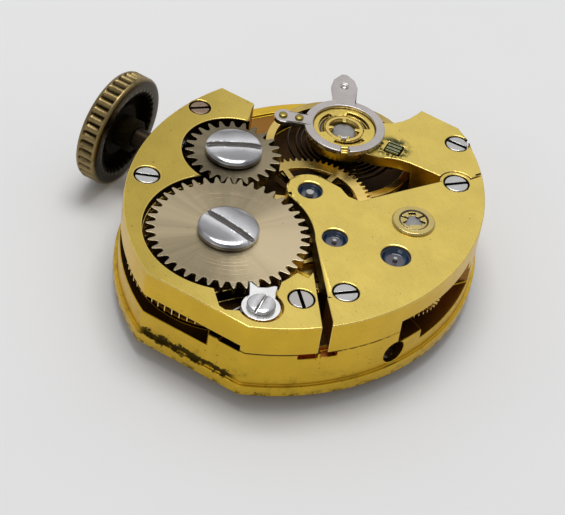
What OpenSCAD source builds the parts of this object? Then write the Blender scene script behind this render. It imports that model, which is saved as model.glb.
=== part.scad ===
// Small hand-wound watch movement, bridge side up. Millimetres.
// The origin is on the hands' axis at the dial face of the plate, +Z points to
// the bridges, the winding stem leaves along -X and the balance lies towards +Y.

/* [Frame] */
// Width of the bridges across the two side arcs
width = 12.44; // [12.3:0.02:12.6]
// Radius of the two side arcs
side_r = 8.2; // [8:0.05:8.6]
// Distance from the hands' axis to the front flat
front_y = 7.38; // [7.3:0.02:7.6]
// Distance from the hands' axis to the back flat
back_y = 6.63; // [6.6:0.02:6.8]
// Thickness of the plate
plate_t = 1.88; // [1.86:0.01:2.1]
// Thickness of the bridges at their feet
bridge_t = 1.25; // [1.23:0.01:1.45]
// How far the flange at the dial face stands proud
flange_proud = 0.12; // [0.05:0.01:0.25]
// Height of that flange
flange_h = 0.42; // [0.3:0.02:0.6]
// Running gap between moving parts and walls
gap = 0.06; // [0.04:0.01:0.08]
// Radial play of pivots in their jewels and of pins in their holes
play = 0.015; // [0.01:0.005:0.03]

/* [Winding wheels] */
// Module of the ratchet and crown wheel teeth
wind_m = 0.1338; // [0.132:0.0002:0.135]
// Teeth of the ratchet wheel
ratchet_n = 41; // [41:1:41]
// Teeth of the crown wheel
crown_n = 24; // [24:1:24]
// Teeth of the winding pinion
pinion_n = 14; // [12:1:16]
// Thickness of the ratchet wheel
ratchet_t = 0.32; // [0.25:0.01:0.34]
// Thickness of the crown wheel
crown_t = 0.45; // [0.42:0.01:0.48]
// Depth of the winding wheels' top faces under the bridge top
wheel_sink = 0.03; // [0:0.01:0.06]
// Radius of the ratchet screw's head
ratchet_screw_r = 1.09; // [0.9:0.02:1.3]
// Radius of the crown wheel screw's head
crown_screw_r = 1.04; // [0.9:0.02:1.2]
// Height of the two domed winding screws
dome_h = 0.34; // [0.25:0.01:0.45]
// Distance of the click's pivot from the barrel axis
click_d = 3.86; // [3.82:0.01:3.9]
// Direction of the click's pivot from the barrel axis
click_a = -40.2; // [-41:0.1:-39.5]
// Radius of the click's collar
click_r = 0.68; // [0.6:0.01:0.72]
// Thickness of the click
click_t = 0.25; // [0.2:0.01:0.3]

/* [Going train] */
// Direction of the barrel axis from the hands' axis
barrel_a = -106.35; // [-107:0.05:-106]
// Module of the barrel teeth
barrel_m = 0.0932; // [0.0925:0.0001:0.0934]
// Teeth of the barrel
barrel_n = 72; // [72:1:72]
// Leaves of the centre pinion
centre_pinion_n = 12; // [12:1:12]
// Module of the centre wheel
centre_m = 0.07167; // [0.071:0.0001:0.072]
// Teeth of the centre wheel
centre_n = 64; // [64:1:64]
// Leaves of the third pinion
third_pinion_n = 8; // [8:1:8]
// Module of the third wheel
third_m = 0.06595; // [0.0655:0.0001:0.0665]
// Teeth of the third and fourth wheels
third_n = 60; // [60:1:60]
// Leaves of the fourth pinion
fourth_pinion_n = 8; // [8:1:8]
// Module of the fourth wheel
fourth_m = 0.0603; // [0.0598:0.0001:0.0606]
// Leaves of the escape pinion
escape_pinion_n = 6; // [6:1:6]
// Teeth of the escape wheel
escape_n = 15; // [15:1:15]
// Tip radius of the escape wheel
escape_r = 1.5; // [1.4:0.02:1.56]
// Thickness of the train wheels
wheel_t = 0.12; // [0.1:0.01:0.14]
// Thickness of the centre wheel
centre_t = 0.12; // [0.1:0.01:0.13]
// Height of the barrel drum
barrel_h = 1.0; // [0.9:0.01:1.04]
// Outer radius of the barrel drum under its teeth
drum_r = 3.15; // [3:0.01:3.2]

/* [Balance] */
// Distance of the balance axis from the hands' axis
balance_d = 3.785; // [3.75:0.005:3.82]
// Direction of the balance axis from the hands' axis
balance_a = 102.2; // [101.8:0.1:102.6]
// Outer radius of the balance rim
balance_r = 2.8; // [2.7:0.01:2.82]
// Radial width of the balance rim
balance_rim_w = 0.3; // [0.25:0.01:0.4]
// Height of the balance rim
balance_rim_h = 0.25; // [0.2:0.01:0.28]
// Turns of the hairspring
hair_turns = 9; // [7:1:10]
// Outer radius of the hairspring
hair_r = 2.0; // [1.96:0.01:2.04]
// Thickness of the hairspring's strip
hair_t = 0.04; // [0.03:0.005:0.05]
// Outer radius of the regulator ring
regulator_r = 1.5; // [1.42:0.01:1.55]
// Radial width of the regulator ring
regulator_w = 0.33; // [0.28:0.01:0.36]
// Thickness of the regulator
regulator_t = 0.2; // [0.16:0.01:0.24]
// Direction of the regulator's tail
tail_a = 121; // [115:1:127]
// Length of the regulator's tail from the balance axis
tail_l = 3.05; // [2.9:0.01:3.15]

/* [Stem and crown] */
// Height of the stem's axis over the dial face
stem_z = 1.555; // [1.53:0.005:1.58]
// Radius of the stem's outer part
stem_r = 0.38; // [0.36:0.01:0.4]
// Travel of the stem from winding to hand setting
pull = 0.35; // [0.3:0.01:0.36]
// Tip radius of the winding pinion
pinion_r = 1.12; // [1.1:0.01:1.13]
// Radius of the clutch
clutch_r = 0.62; // [0.6:0.01:0.64]
// Outer radius of the crown
crown_r = 2.17; // [2:0.01:2.3]
// Width of the crown's fluted band
crown_w = 0.86; // [0.7:0.02:1]
// Number of flutes round the crown
flutes = 36; // [30:1:40]
// Distance of the crown's inner face from the hands' axis
crown_x = 7.8; // [7.7:0.02:8]

/* [Motion works] */
// Distance of the minute wheel's axis from the hands' axis
minute_d = 1.75; // [1.74:0.002:1.76]
// Leaves of the cannon pinion
cannon_n = 12; // [12:1:12]
// Teeth of the minute wheel
minute_n = 36; // [36:1:36]
// Leaves of the minute pinion
minute_pinion_n = 8; // [8:1:8]
// Teeth of the hour wheel
hour_n = 32; // [32:1:32]
// Teeth of the setting wheel
setting_n = 17; // [17:1:17]
// Distance of the setting wheel's axis from the hands' axis
setting_d = 1.9; // [1.88:0.01:1.94]
// Outer radius of the cannon pinion's post, which carries the minute hand
minute_post_r = 0.33; // [0.3:0.01:0.36]
// Outer radius of the hour wheel's pipe, which carries the hour hand
hour_pipe_r = 0.55; // [0.5:0.01:0.6]
// How far the minute hand's post stands under the dial face
post_h = 0.6; // [0.5:0.01:0.62]
// Radius of the two holes for the dial's feet
foot_r = 0.36; // [0.3:0.01:0.4]
// Depth of the two holes for the dial's feet
foot_depth = 0.7; // [0.6:0.05:0.9]

/* [Screws and jewels] */
// Radius of the bridge screws' heads
screw_r = 0.43; // [0.38:0.01:0.45]
// Radius of the bridge screws' shanks
shank_r = 0.22; // [0.18:0.01:0.24]
// Height of the bridge screws' heads
head_h = 0.3; // [0.25:0.01:0.35]
// Width of the screw slots
slot_w = 0.12; // [0.1:0.01:0.15]
// Width of gilt between a screw's head and the wall of its sink
sink_w = 0.06; // [0.04:0.01:0.09]
// Outer radius of the train jewels
jewel_r = 0.41; // [0.38:0.01:0.42]
// Thickness of the train jewels
jewel_t = 0.24; // [0.2:0.01:0.26]
// Radius of the train pivots
pivot_r = 0.07; // [0.06:0.005:0.09]
// Radius of the centre arbor's upper pivot
centre_pivot_r = 0.13; // [0.11:0.005:0.15]

/* [Hidden] */
$fn = 64;

gilt = [0.86, 0.71, 0.33];
steel = [0.72, 0.71, 0.70];
dark_steel = [0.45, 0.44, 0.43];
brass = [0.80, 0.66, 0.30];
jewel_blue = [0.06, 0.10, 0.30];

function polar(r, a) = [r * cos(a), r * sin(a)];
function dir_of(p, q) = atan2(q[1] - p[1], q[0] - p[0]);
function pitch_r(m, n) = m * n / 2;

// Heights
top_z = plate_t + bridge_t;
barrel_top = plate_t + 0.17;
barrel_z = barrel_top - barrel_h;
barrel_floor = barrel_z - gap;
barrel_roof = barrel_top + gap;
tooth_h = 0.3;
centre_z = plate_t + 0.62;
third_z = plate_t + 0.27;
fourth_z = plate_t - 0.05;
escape_z = plate_t - 0.46;
rim_z = plate_t + 0.07;
hair_z = plate_t + 0.5;
hair_h = 0.12;
cock_z = top_z - 0.45;
train_roof = top_z - 0.78;
window_z = plate_t - 0.55;
wheel_top = top_z - wheel_sink;
ratchet_z = wheel_top - ratchet_t;
crown_wheel_z = wheel_top - crown_t;
click_z = wheel_top - click_t;

// Axes in plan
barrel_tip = pitch_r(barrel_m, barrel_n) + 0.9 * barrel_m;
B = polar(pitch_r(barrel_m, barrel_n + centre_pinion_n), barrel_a);
wind_d = pitch_r(wind_m, ratchet_n + crown_n);
W = [B[0] - sqrt(pow(wind_d, 2) - pow(B[1], 2)), 0];
third_a = -38.78;
T = polar(pitch_r(centre_m, centre_n + third_pinion_n), third_a);
fourth_a = 14.84;
F = T + polar(pitch_r(third_m, third_n + fourth_pinion_n), fourth_a);
escape_a = 101.6;
E = F + polar(pitch_r(fourth_m, third_n + escape_pinion_n), escape_a);
A = polar(balance_d, balance_a);
pallet_a = dir_of(E, A);
pallet_d = escape_r / cos(30);
P = E + polar(pallet_d, pallet_a);
fork_a = pallet_a;
click_p = B + polar(click_d, click_a);
minute_m = 2 * minute_d / (cannon_n + minute_n);
hour_m = 2 * minute_d / (minute_pinion_n + hour_n);
S = [-setting_d, 0];
set_mesh = pitch_r(minute_m, setting_n + minute_n);
M_x = (pow(set_mesh, 2) - pow(minute_d, 2) - pow(setting_d, 2)) / (2 * setting_d);
M = [M_x, sqrt(pow(minute_d, 2) - pow(M_x, 2))];
lever_pin = [-5.6, -0.36];
setting_p = lever_pin + [0.15, -1.39];
yoke_pin = [-3.84, -0.58];
yoke_p = yoke_pin + [pull / 2, -1.42];

// Tips and roots of the winding wheels
ratchet_tip = pitch_r(wind_m, ratchet_n) + 1.17 * wind_m;
ratchet_root = pitch_r(wind_m, ratchet_n) - 1.25 * wind_m;
crown_tip = pitch_r(wind_m, crown_n) + 1.17 * wind_m;
crown_root = pitch_r(wind_m, crown_n) - 1.25 * wind_m;
ratchet_phase = 118.0 - 180 / ratchet_n;
crown_phase = dir_of(W, B) + (120.2 - 118.0) * ratchet_n / crown_n;

// Places of the bridge screws
barrel_screws = [[-4.976, -3.113], [-5.62, 1.317], [2.73, -5.051]];
train_screws = [[3.946, 3.809], [3.76, -3.786]];
cock_screws = [[2.864, 5.806]];
pallet_screw = E + polar(2.1, 103);
keyless_screw_at = [[-4.75, -2.6], [-4.9, 1.35]];

// Outline

side_off = side_r - width / 2;
// Direction of the right dial foot's screw, from the middle of the side's arc
foot_screw_a = -20.6;
foot_holes = [[side_off, -0.25] + polar(side_r - 0.6, 153.6),
  [-side_off, -0.25] + polar(side_r - 0.6, foot_screw_a)];
module outline(grow = 0) {
  intersection() {
    translate([side_off, -0.25]) circle(side_r + grow, $fn = 180);
    translate([-side_off, -0.25]) circle(side_r + grow, $fn = 180);
    translate([-width, -front_y - grow]) square([2 * width, front_y + back_y + 2 * grow]);
  }
}

// A wheel's teeth: n teeth with straight flanks, tip and root widths as shares
// of the pitch, first tooth centred at angle ph
function teeth(n, tip, root, tip_w, root_w, ph = 0) =
  [for (i = [0:n - 1]) let (c = ph + 360 * i / n, p = 360 / n)
    each [polar(root, c - p * root_w / 2), polar(tip, c - p * tip_w / 2),
      polar(tip, c + p * tip_w / 2), polar(root, c + p * root_w / 2)]];

// Teeth of a wheel or pinion of the going train from its module
function gear(m, n, ph = 0) = teeth(n, pitch_r(m, n) + 0.9 * m, pitch_r(m, n) - 1.35 * m,
  0.16, 0.6, ph);
function leaves(m, n, ph = 0) = teeth(n, pitch_r(m, n) + 0.7 * m, pitch_r(m, n) - 1.45 * m,
  0.16, 0.42, ph);

// Rounded winding teeth with pointed tips and round gaps
function wolf_teeth(n, tip, root, ph) =
  [for (i = [0:n - 1]) let (c = ph + 360 * i / n, p = 360 / n, h = tip - root)
    each [polar(root, c - p * 0.38), polar(root + 0.25 * h, c - p * 0.27),
      polar(root + 0.7 * h, c - p * 0.17), polar(tip, c - p * 0.05),
      polar(tip, c + p * 0.05), polar(root + 0.7 * h, c + p * 0.17),
      polar(root + 0.25 * h, c + p * 0.27), polar(root, c + p * 0.38)]];

module at(p, z = 0) translate([p[0], p[1], z]) children();
module bore(p, z0, z1, r) at(p, z0) cylinder(h = z1 - z0, r = r);
module ring(r_out, r_in, h) difference() {
  cylinder(h = h, r = r_out);
  translate([0, 0, -1]) cylinder(h = h + 2, r = r_in);
}
// A wedge in plan from angle a0 to a1, out to radius r
module wedge(a0, a1, r) polygon(concat([[0, 0]],
  [for (i = [0:6]) polar(r, a0 + (a1 - a0) * i / 6)]));

// A spoked wheel blank with teeth from a point list
module spoked(pts, h, rim_in, hub_r, hole_r, n, ph, arm_w) {
  difference() {
    linear_extrude(h) polygon(pts);
    translate([0, 0, -1]) linear_extrude(h + 2) difference() {
      circle(rim_in);
      circle(hub_r);
      for (i = [0:n - 1]) rotate(ph + i * 360 / n) translate([0, -arm_w / 2])
        square([rim_in + 1, arm_w]);
    }
    translate([0, 0, -1]) cylinder(h = h + 2, r = hole_r);
  }
}

// A slotted cheese-head screw, head top at z
module screw(p, z, r, h, shank, depth, a, slot) {
  at(p, z - h) difference() {
    union() {
      cylinder(h = h, r = r);
      translate([0, 0, -depth]) cylinder(h = depth + 0.01, r = shank);
    }
    rotate(a) translate([-2 * r, -slot / 2, h * 0.5]) cube([4 * r, slot, h]);
  }
}

// A domed, slotted screw
module domed_screw(p, z, r, h, shank, depth, a, slot) {
  at(p, z) difference() {
    union() {
      rotate_extrude() polygon([[0, 0], [r - 0.04, 0], [r, 0.05], [r, h * 0.55],
        [r * 0.93, h * 0.78], [r * 0.75, h * 0.93], [r * 0.4, h], [0, h]]);
      translate([0, 0, -depth]) cylinder(h = depth + 0.01, r = shank);
    }
    rotate(a) translate([-2 * r, -slot / 2, h * 0.45]) cube([4 * r, slot, h]);
  }
}

// Frame

foot_clear = 0.01;
pocket_r = ratchet_tip + 2 * gap;
crown_pocket_r = crown_tip + 2 * gap;
barrel_room = barrel_tip + gap;
balance_room = balance_r + 0.13;
keyless_z = 0.82;
cover_z = 0.3;
cover_t = 0.16;
module cover_plan(grow) hull() {
  translate([-5.5, 0.35]) circle(0.3 + grow, $fn = 32);
  translate(keyless_screw_at[1]) circle(0.38 + grow, $fn = 32);
  translate([-3.4, 0.3]) circle(0.38 + grow, $fn = 32);
  translate(setting_p) circle(0.38 + grow, $fn = 32);
  translate(keyless_screw_at[0]) circle(0.36 + grow, $fn = 32);
  translate([-3.3, -2.3]) circle(0.36 + grow, $fn = 32);
}

module mainplate_blank() {
  linear_extrude(plate_t) outline(0);
  linear_extrude(flange_h) outline(flange_proud);
}

module mainplate() color(gilt) difference() {
  mainplate_blank();
  // Lowered edge behind the balance
  translate([0, 0, plate_t - 0.25]) linear_extrude(1)
    polygon([[-4.12, 2.83], [-7, 2.83], [-7, 8], [0.75, 8], [0.75, 5.2], [-2.5, 2.6]]);
  bore(A, plate_t - 0.76, plate_t + 1, balance_room);
  // Barrel, its lower pivot and the window beside it
  bore(B, barrel_floor, plate_t + 1, drum_r + gap);
  bore(B, barrel_top - tooth_h - 2 * gap, plate_t + 1, barrel_room);
  bore(B, -1, plate_t, barrel_pivot_r + play);
  at(B, window_z) linear_extrude(2) difference() {
    wedge(163, 295, 9);
    wedge(282, 300, 3.75);
  }
  translate([1.0, -9, plate_t - 0.08]) cube([0.85, 3, 1]);
  // Going train
  bore([0, 0], plate_t - 0.26, plate_t + 1, pitch_r(barrel_m, centre_pinion_n) + 2 * gap + barrel_m);
  bore([0, 0], -1, plate_t, centre_arbor_r + play);
  bore(T, plate_t - 0.33, plate_t + 1, jewel_seat + 0.08);
  bore(F, plate_t - 0.12, plate_t + 1, pitch_r(fourth_m, third_n) + fourth_m + gap);
  bore(F, plate_t - 0.68, plate_t, jewel_seat + 0.08);
  bore(E, escape_z - gap, plate_t + 1, escape_r + gap);
  bore(E, escape_z - 0.45, plate_t, jewel_seat + 0.05);
  // Window beside the fourth wheel, deeper towards the stem's far side
  at(F, window_z) linear_extrude(2) wedge(-52, -20, 5);
  at(F, 0.9) linear_extrude(2) wedge(-25, 58, 5);
  // Lever and pallet bridge
  bore(P, escape_z - gap, plate_t + 1, 1.14);
  at(P, escape_z - gap) rotate(fork_a) translate([0, -0.42, 0])
    cube([pallet_d + 0.4, 0.84, 2]);
  at(pallet_screw, plate_t - 0.28) cylinder(h = 2, r = 0.62);
  at(P, plate_t - 0.28) rotate(dir_of(P, pallet_screw)) translate([0, -0.62, 0])
    cube([norm(pallet_screw - P), 1.24, 2]);
  bore(P, escape_z - 0.45, plate_t, jewel_seat + 0.05);
  bore(pallet_screw, 0.6, plate_t, 0.15 + foot_clear);
  // Seats of the lower jewels
  for (s = plate_seats) bore(s[0], s[1] - jewel_t, s[1] + 0.01, jewel_seat);
  for (s = plate_seats) bore(s[0], s[1] - jewel_t - 0.2, s[1], 0.2);
  bore(A, 0.25, plate_t, shock_r);
  bore(A, -1, 0.4, 0.45);
  // Stem, winding pinion and clutch
  translate([-7, 0, stem_z]) rotate([0, 90, 0]) cylinder(h = 7 - 4.4, r = stem_r + play);
  translate([-3.5, 0, stem_z]) rotate([0, 90, 0]) cylinder(h = 1.55, r = 0.17 + play);
  translate([-5.36, -pinion_r - gap, 0.3]) cube([0.94, 2 * (pinion_r + gap), 3]);
  translate([-4.46, -clutch_r - gap, 0.3]) cube([2.0, 2 * (clutch_r + gap), 3]);
  // Hollows of the dial side
  translate([0, 0, -1]) linear_extrude(1 + keyless_z) hull() {
    translate(lever_pin + [-pull, -0.08]) circle(0.2, $fn = 32);
    translate(setting_p) circle(0.42, $fn = 32);
    translate([-5.4, 0.3]) circle(0.3, $fn = 32);
    translate([-3.0, 0.4]) circle(0.35, $fn = 32);
    translate([-2.95, -2.35]) circle(0.35, $fn = 32);
    translate(yoke_p) circle(0.36, $fn = 32);
  }
  translate([0, 0, -1]) linear_extrude(1 + cover_z + cover_t) cover_plan(0.04);
  translate([lever_pin[0] - pull - 0.17, lever_pin[1] - 0.3, 0.5])
    cube([pull + 0.34, 0.5, stem_z - 0.42]);
  bore(S, -1, 1.12, pitch_r(minute_m, setting_n) + minute_m + gap);
  bore(M, -1, 0.85, pitch_r(minute_m, minute_n) + minute_m + gap);
  bore([0, 0], -1, 0.32, pitch_r(hour_m, hour_n) + hour_m + gap);
  bore([0, 0], -1, 1.12, pitch_r(minute_m, cannon_n) + minute_m + gap);
  bore(setting_p, 0, 1.25, 0.15 + play);
  bore(yoke_p, 0, 0.96, 0.15 + play);
  // Tapped holes
  for (p = concat(barrel_screws, train_screws, cock_screws))
    bore(p, 0.75, plate_t + 1, shank_r + foot_clear);
  for (p = keyless_screw_at) bore(p, 0.3, 1.0, 0.15 + foot_clear);
  // Holes for the dial's feet and the screws that hold them
  for (p = foot_holes) bore(p, -1, foot_depth, foot_r);
  translate(concat(foot_holes[1], 0.93)) rotate([0, 90, foot_screw_a]) cylinder(h = 2, r = 0.45);
  // Slots for lifting the bridges
  at([3.85, -6.1], plate_t - 0.22) rotate(41) translate([-0.35, -0.3]) cube([0.7, 1.0, 0.5]);
  at([4.5, -5.6], plate_t - 0.22) rotate(46) translate([-0.35, -0.3]) cube([0.7, 1.2, 0.5]);
}

module barrel_bridge_plan() {
  intersection() {
    outline(0);
    union() {
      polygon([[-7, 2.83], [-4.18, 2.83], [-4.1, 2.5], [-3.76, 1.85], W, [W[0], -1.4],
        [B[0], -1.3], B, [1.85, -3.3], [2.3, -3.3], [2.33, -3.6], [3.95, -5.68],
        [4.6, -6.5], [4.6, -8], [-7, -8]]);
      translate(W) circle(crown_root - 0.1);
      translate(B) circle(ratchet_root - 0.1);
    }
  }
}

module barrel_bridge() color(gilt) difference() {
  at([0, 0], plate_t) linear_extrude(bridge_t) barrel_bridge_plan();
  // Sunk seats of the ratchet, crown wheel and click
  bore(B, ratchet_z - 0.02, top_z + 1, pocket_r);
  bore(W, crown_wheel_z - 0.02, top_z + 1, crown_pocket_r);
  bore(click_p, click_z - 0.02, top_z + 1, click_r + 0.1);
  at([0, 0], click_z - 0.02) linear_extrude(2) polygon([[0.2, -5.9], [1.3, -4.7], [1.76, -4.8],
    [1.95, -5.4], click_p + [0.3, 0.7], click_p]);
  at([0, 0], top_z - 0.85) linear_extrude(2) polygon([[0.03, -6.45], [0.72, -7.12],
    [0.98, -7.16], [1.42, -6.86], [1.36, -6.3], [1.3, -5.6], [0.9, -5.3], [0.6, -5.6]]);
  bore([0, 0], plate_t - 1, centre_z + centre_t + gap, pitch_r(centre_m, centre_n) + centre_m + gap);
  bore(T, plate_t - 1, third_z + wheel_t + gap, pitch_r(third_m, third_n) + third_m + gap);
  // Low step beside the train bridge
  at([0, 0], top_z - 0.55) linear_extrude(2) polygon([[1.6, -3.0], [2.35, -3.0], [2.35, -4.0],
    [1.6, -4.0]]);
  // Room over the barrel, open at the window
  bore(B, plate_t - 1, barrel_roof, barrel_room);
  at(B, plate_t - 1) linear_extrude(1 + 0.21) wedge(160, 282, 9);
  at([0, 0], plate_t - 1) linear_extrude(1 + 0.21) polygon([[-2.2, -9], [1.85, -9],
    [1.85, -7.0], [-1.5, -6.0]]);
  bore(B, plate_t, top_z, arbor_r + play);
  // Stem, winding pinion and clutch
  translate([-7, 0, stem_z]) rotate([0, 90, 0]) cylinder(h = 7 - 4.4, r = stem_r + play);
  translate([-5.4, -pinion_r - gap, 0]) cube([1.0, 2 * (pinion_r + gap), stem_z + pinion_r + gap]);
  translate([-4.5, -clutch_r - gap, 0]) cube([3.5, 2 * (clutch_r + gap), stem_z + clutch_r + gap]);
  bore(W, plate_t - 1, plate_t + 0.35, 0.6);
  bore(W, plate_t, top_z, 0.26 + foot_clear);
  bore(click_p, plate_t, top_z, 0.2 + foot_clear);
  for (p = barrel_screws) {
    bore(p, top_z - head_h - 0.04, top_z + 1, screw_r + sink_w);
    bore(p, 0, top_z, shank_r + 0.03);
  }
}

module train_bridge_plan() {
  intersection() {
    outline(0);
    difference() {
      union() {
        polygon([[0, 0.87], [0.8, 0.83], [1.26, 0.6], [1.73, 0.66], [1.97, 1.11], [3.4, 3.45],
          [3.5, 3.75], [4.22, 4.28], [4.50, 4.84], [8, 4.84], [8, -8], [5, -7], [4.15, -5.32],
          [1.30, -1.90], [0, -1.0]]);
        circle(0.87);
        translate(train_screws[0]) circle(0.62);
        polygon([[-0.6, -0.62], [0.3, -1.1], [1.5, -2.0], [1.2, 0]]);
      }
      translate(B) circle(pocket_r + 0.05, $fn = 120);
    }
  }
}

module train_bridge() color(gilt) difference() {
  at([0, 0], plate_t) linear_extrude(bridge_t) train_bridge_plan();
  // Room for the wheels
  bore([0, 0], plate_t - 1, centre_z + centre_t + gap, pitch_r(centre_m, centre_n) + centre_m + gap);
  bore(T, plate_t - 1, train_roof, pitch_r(third_m, third_n) + third_m + gap);
  bore(F, plate_t - 1, train_roof, pitch_r(fourth_m, third_n) + fourth_m + gap);
  bore(E, plate_t - 1, train_roof, 0.75);
  at([0, 0], plate_t - 1) linear_extrude(train_roof - plate_t + 1)
    polygon([T, F, E + [0.6, 0.6], E + [-1.6, 0.5], [0, 0]]);
  bore(T, plate_t, centre_z + 0.3, pitch_r(centre_m, third_pinion_n) + centre_m + gap);
  at(F, plate_t - 1) linear_extrude(train_roof - plate_t + 1) wedge(-52, 52, 5);
  bore(B, plate_t - 1, barrel_roof, barrel_room);
  // Jewels and their polished sinks
  for (j = train_seats) {
    bore(j[0], top_z - 0.1 - jewel_t, top_z + 1, jewel_seat);
    at(j[0], top_z - 0.12) cylinder(h = 0.13, r1 = jewel_seat, r2 = j[1]);
    bore(j[0], plate_t, top_z, 0.26);
  }
  bore(pallet_screw, plate_t - 1, plate_t + 0.24, 0.36);
  bore(E, top_z - 0.42, top_z + 1, 0.66);
  bore(E, plate_t, top_z, 0.2);
  for (p = train_screws) {
    bore(p, top_z - head_h - 0.04, top_z + 1, screw_r + sink_w);
    bore(p, 0, top_z, shank_r + 0.03);
  }
}

stud_a = 8;
boss_r = regulator_r - regulator_w - play;
boss_h = 0.1;
shock_r = 0.72;

module balance_cock_plan() {
  intersection() {
    outline(0);
    difference() {
      union() {
        polygon([[0.87, 8], [0.86, 6.45], [0.77, 5.98], [0.64, 5.63], [0.4, 5.25], [-0.5, 4.6],
          A + [0, -1], [0.2, 3.0], [1.0, 3.2], [1.34, 3.43], [1.68, 3.58], [2.06, 3.67],
          [2.87, 3.74], [3.5, 3.78], [4.18, 4.31], [4.46, 4.87], [8, 4.87], [8, 8]]);
        translate(A) circle(1.32);
      }
      translate(train_screws[0]) circle(0.65);
      // Notch for the hairspring's stud
      translate(A + polar(hair_r, stud_a)) rotate(stud_a) translate([-0.3, -0.3]) square([0.62, 0.6]);
    }
  }
}

module balance_cock() color(gilt) difference() {
  union() {
    at([0, 0], plate_t) linear_extrude(bridge_t) balance_cock_plan();
    bore(A, top_z - 0.01, top_z + boss_h, boss_r);
  }
  bore(A, 0, cock_z, balance_room + 0.02);
  bore(A, cock_z - 0.1, top_z + 1, shock_r);
  for (a = [75, 195, 315]) at(A, top_z - 0.05) rotate(a) linear_extrude(1) intersection() {
    difference() { circle(0.98); circle(0.84); }
    wedge(-28, 28, 2);
  }
  for (p = cock_screws) {
    bore(p, top_z - head_h - 0.04, top_z + 1, screw_r + sink_w);
    bore(p, 0, top_z, shank_r + 0.03);
  }
}

module pallet_bridge() color(gilt) difference() {
  at([0, 0], plate_t - 0.28) linear_extrude(0.26) hull() {
    translate(P) circle(0.4, $fn = 32);
    translate(pallet_screw) circle(0.5, $fn = 32);
  }
  bore(P, 0, plate_t - 0.28 + 0.26 + 1, 0.22);
  bore(pallet_screw, 0, 4, 0.15 + 0.03);
}

module bridge_screws() color(steel) {
  angles = [28, 45, -45, 48, 46, 4];
  places = concat(barrel_screws, train_screws, cock_screws);
  for (i = [0:len(places) - 1])
    screw(places[i], top_z - 0.02, screw_r, head_h, shank_r, 1.7, angles[i], slot_w);
}

module pallet_bridge_screw() color(steel)
  screw(pallet_screw, plate_t - 0.02 + 0.2, 0.3, 0.2, 0.15, 0.9, 30, 0.08);

// Jewels

jewel_seat = jewel_r;
train_seats = [[[0, 0], 0.47], [T, 0.48], [F, 0.56]];
plate_seats = [[T, plate_t - 0.33], [F, plate_t - 0.68], [E, escape_z - 0.45], [P, escape_z - 0.45]];

module jewel(r, t, hole) rotate_extrude() difference() {
  polygon([[hole + play, 0], [r - 0.03, 0], [r, 0.03], [r, t], [r * 0.8, t],
    [hole + 0.08, t * 0.7], [hole + play, t * 0.6]]);
}

module bridge_jewels() color(jewel_blue) {
  at(train_seats[0][0], top_z - 0.1 - jewel_t) jewel(jewel_r, jewel_t, centre_pivot_r);
  for (i = [1, 2]) at(train_seats[i][0], top_z - 0.1 - jewel_t) jewel(jewel_r, jewel_t, pivot_r);
}

module plate_jewels() color([0.55, 0.1, 0.2]) {
  for (s = plate_seats) at(s[0], s[1] - jewel_t) jewel(jewel_r, jewel_t, pivot_r);
  at(P, plate_t - 0.28) jewel(0.22, 0.2, 0.05);
  at(E, train_roof) jewel(0.2, 0.2, 0.05);
  for (z = [1.0, cock_z + 0.02]) at(A, z) jewel(0.25, 0.14, 0.05);
}

module escape_setting() color(gilt) at(E, top_z - 0.42) rotate_extrude()
  polygon([[0.2, 0], [0.66, 0], [0.66, 0.42], [0.78, 0.42], [0.78, 0.47], [0.72, 0.52],
    [0.52, 0.52], [0.5, 0.44], [0.32, 0.44], [0.32, 0.1], [0.2, 0.1]]);

module escape_clip() color(brass) at(E, top_z + 0.03) linear_extrude(0.05) difference() {
  circle(0.49);
  for (a = [30, 150, 270]) rotate(a) translate([0.3, 0]) circle(0.12);
  rotate(-30) translate([0, -0.05]) square([1, 0.1]);
  circle(0.14);
}

module cap_jewels() color([0.62, 0.6, 0.62]) {
  at(E, top_z - 0.16) cylinder(h = 0.17, r = 0.32);
  at(A, cock_z + 0.2) rotate_extrude()
    polygon([[0, 0], [0.36, 0], [0.36, 0.16], [0.28, 0.24], [0, 0.28]]);
  at(A, 0.72) cylinder(h = 0.24, r = 0.36);
}

module shock_blocks() color(brass) {
  difference() {
    bore(A, cock_z - 0.02, top_z + 0.02, shock_r);
    bore(A, cock_z + 0.18, top_z + 1, 0.52);
    bore(A, 0, cock_z + 0.19, 0.25);
  }
  difference() {
    bore(A, 0.4, plate_t - 0.74, shock_r);
    bore(A, 0.3, 0.98, 0.52);
    bore(A, 0.9, plate_t, 0.25);
  }
}

// A flat lyre-shaped spring that holds a cap jewel down
module lyre(h) linear_extrude(h) {
  difference() {
    circle(0.5);
    circle(0.41);
    rotate(-60) translate([0.3, -0.07]) square([0.4, 0.14]);
  }
  for (a = [30, 120, 210]) rotate(a) translate([0.26, -0.05]) square([0.2, 0.1]);
}

module shock_springs() color([0.9, 0.78, 0.45]) {
  at(A, cock_z + 0.48) lyre(0.05);
  at(A, 0.64) lyre(0.05);
}

module hairspring_stud() color(dark_steel) at(A + polar(hair_r, stud_a)) rotate(stud_a) {
  translate([-0.14, -0.2, hair_z - 0.1]) difference() {
    cube([0.36, 0.42, top_z + 0.08 - hair_z + 0.1]);
    translate([0.09, -0.1, 0.06]) cube([0.1, 0.62, hair_h + 0.08]);
  }
  translate([0.2, 0, top_z - 0.16]) rotate([0, 90, 0]) cylinder(h = 0.1, r = 0.12);
}

// Winding wheels and click

arbor_r = 0.55;
square_w = 0.72;

module ratchet_wheel() color(steel) at(B, ratchet_z) difference() {
  linear_extrude(ratchet_t) polygon(wolf_teeth(ratchet_n, ratchet_tip, ratchet_root, ratchet_phase));
  translate([-square_w / 2, -square_w / 2, -1]) cube([square_w, square_w, 3]);
}

module ratchet_screw() color(steel)
  domed_screw(B, wheel_top, ratchet_screw_r, dome_h, 0.2, 0.75, -7, 0.19);

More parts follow.
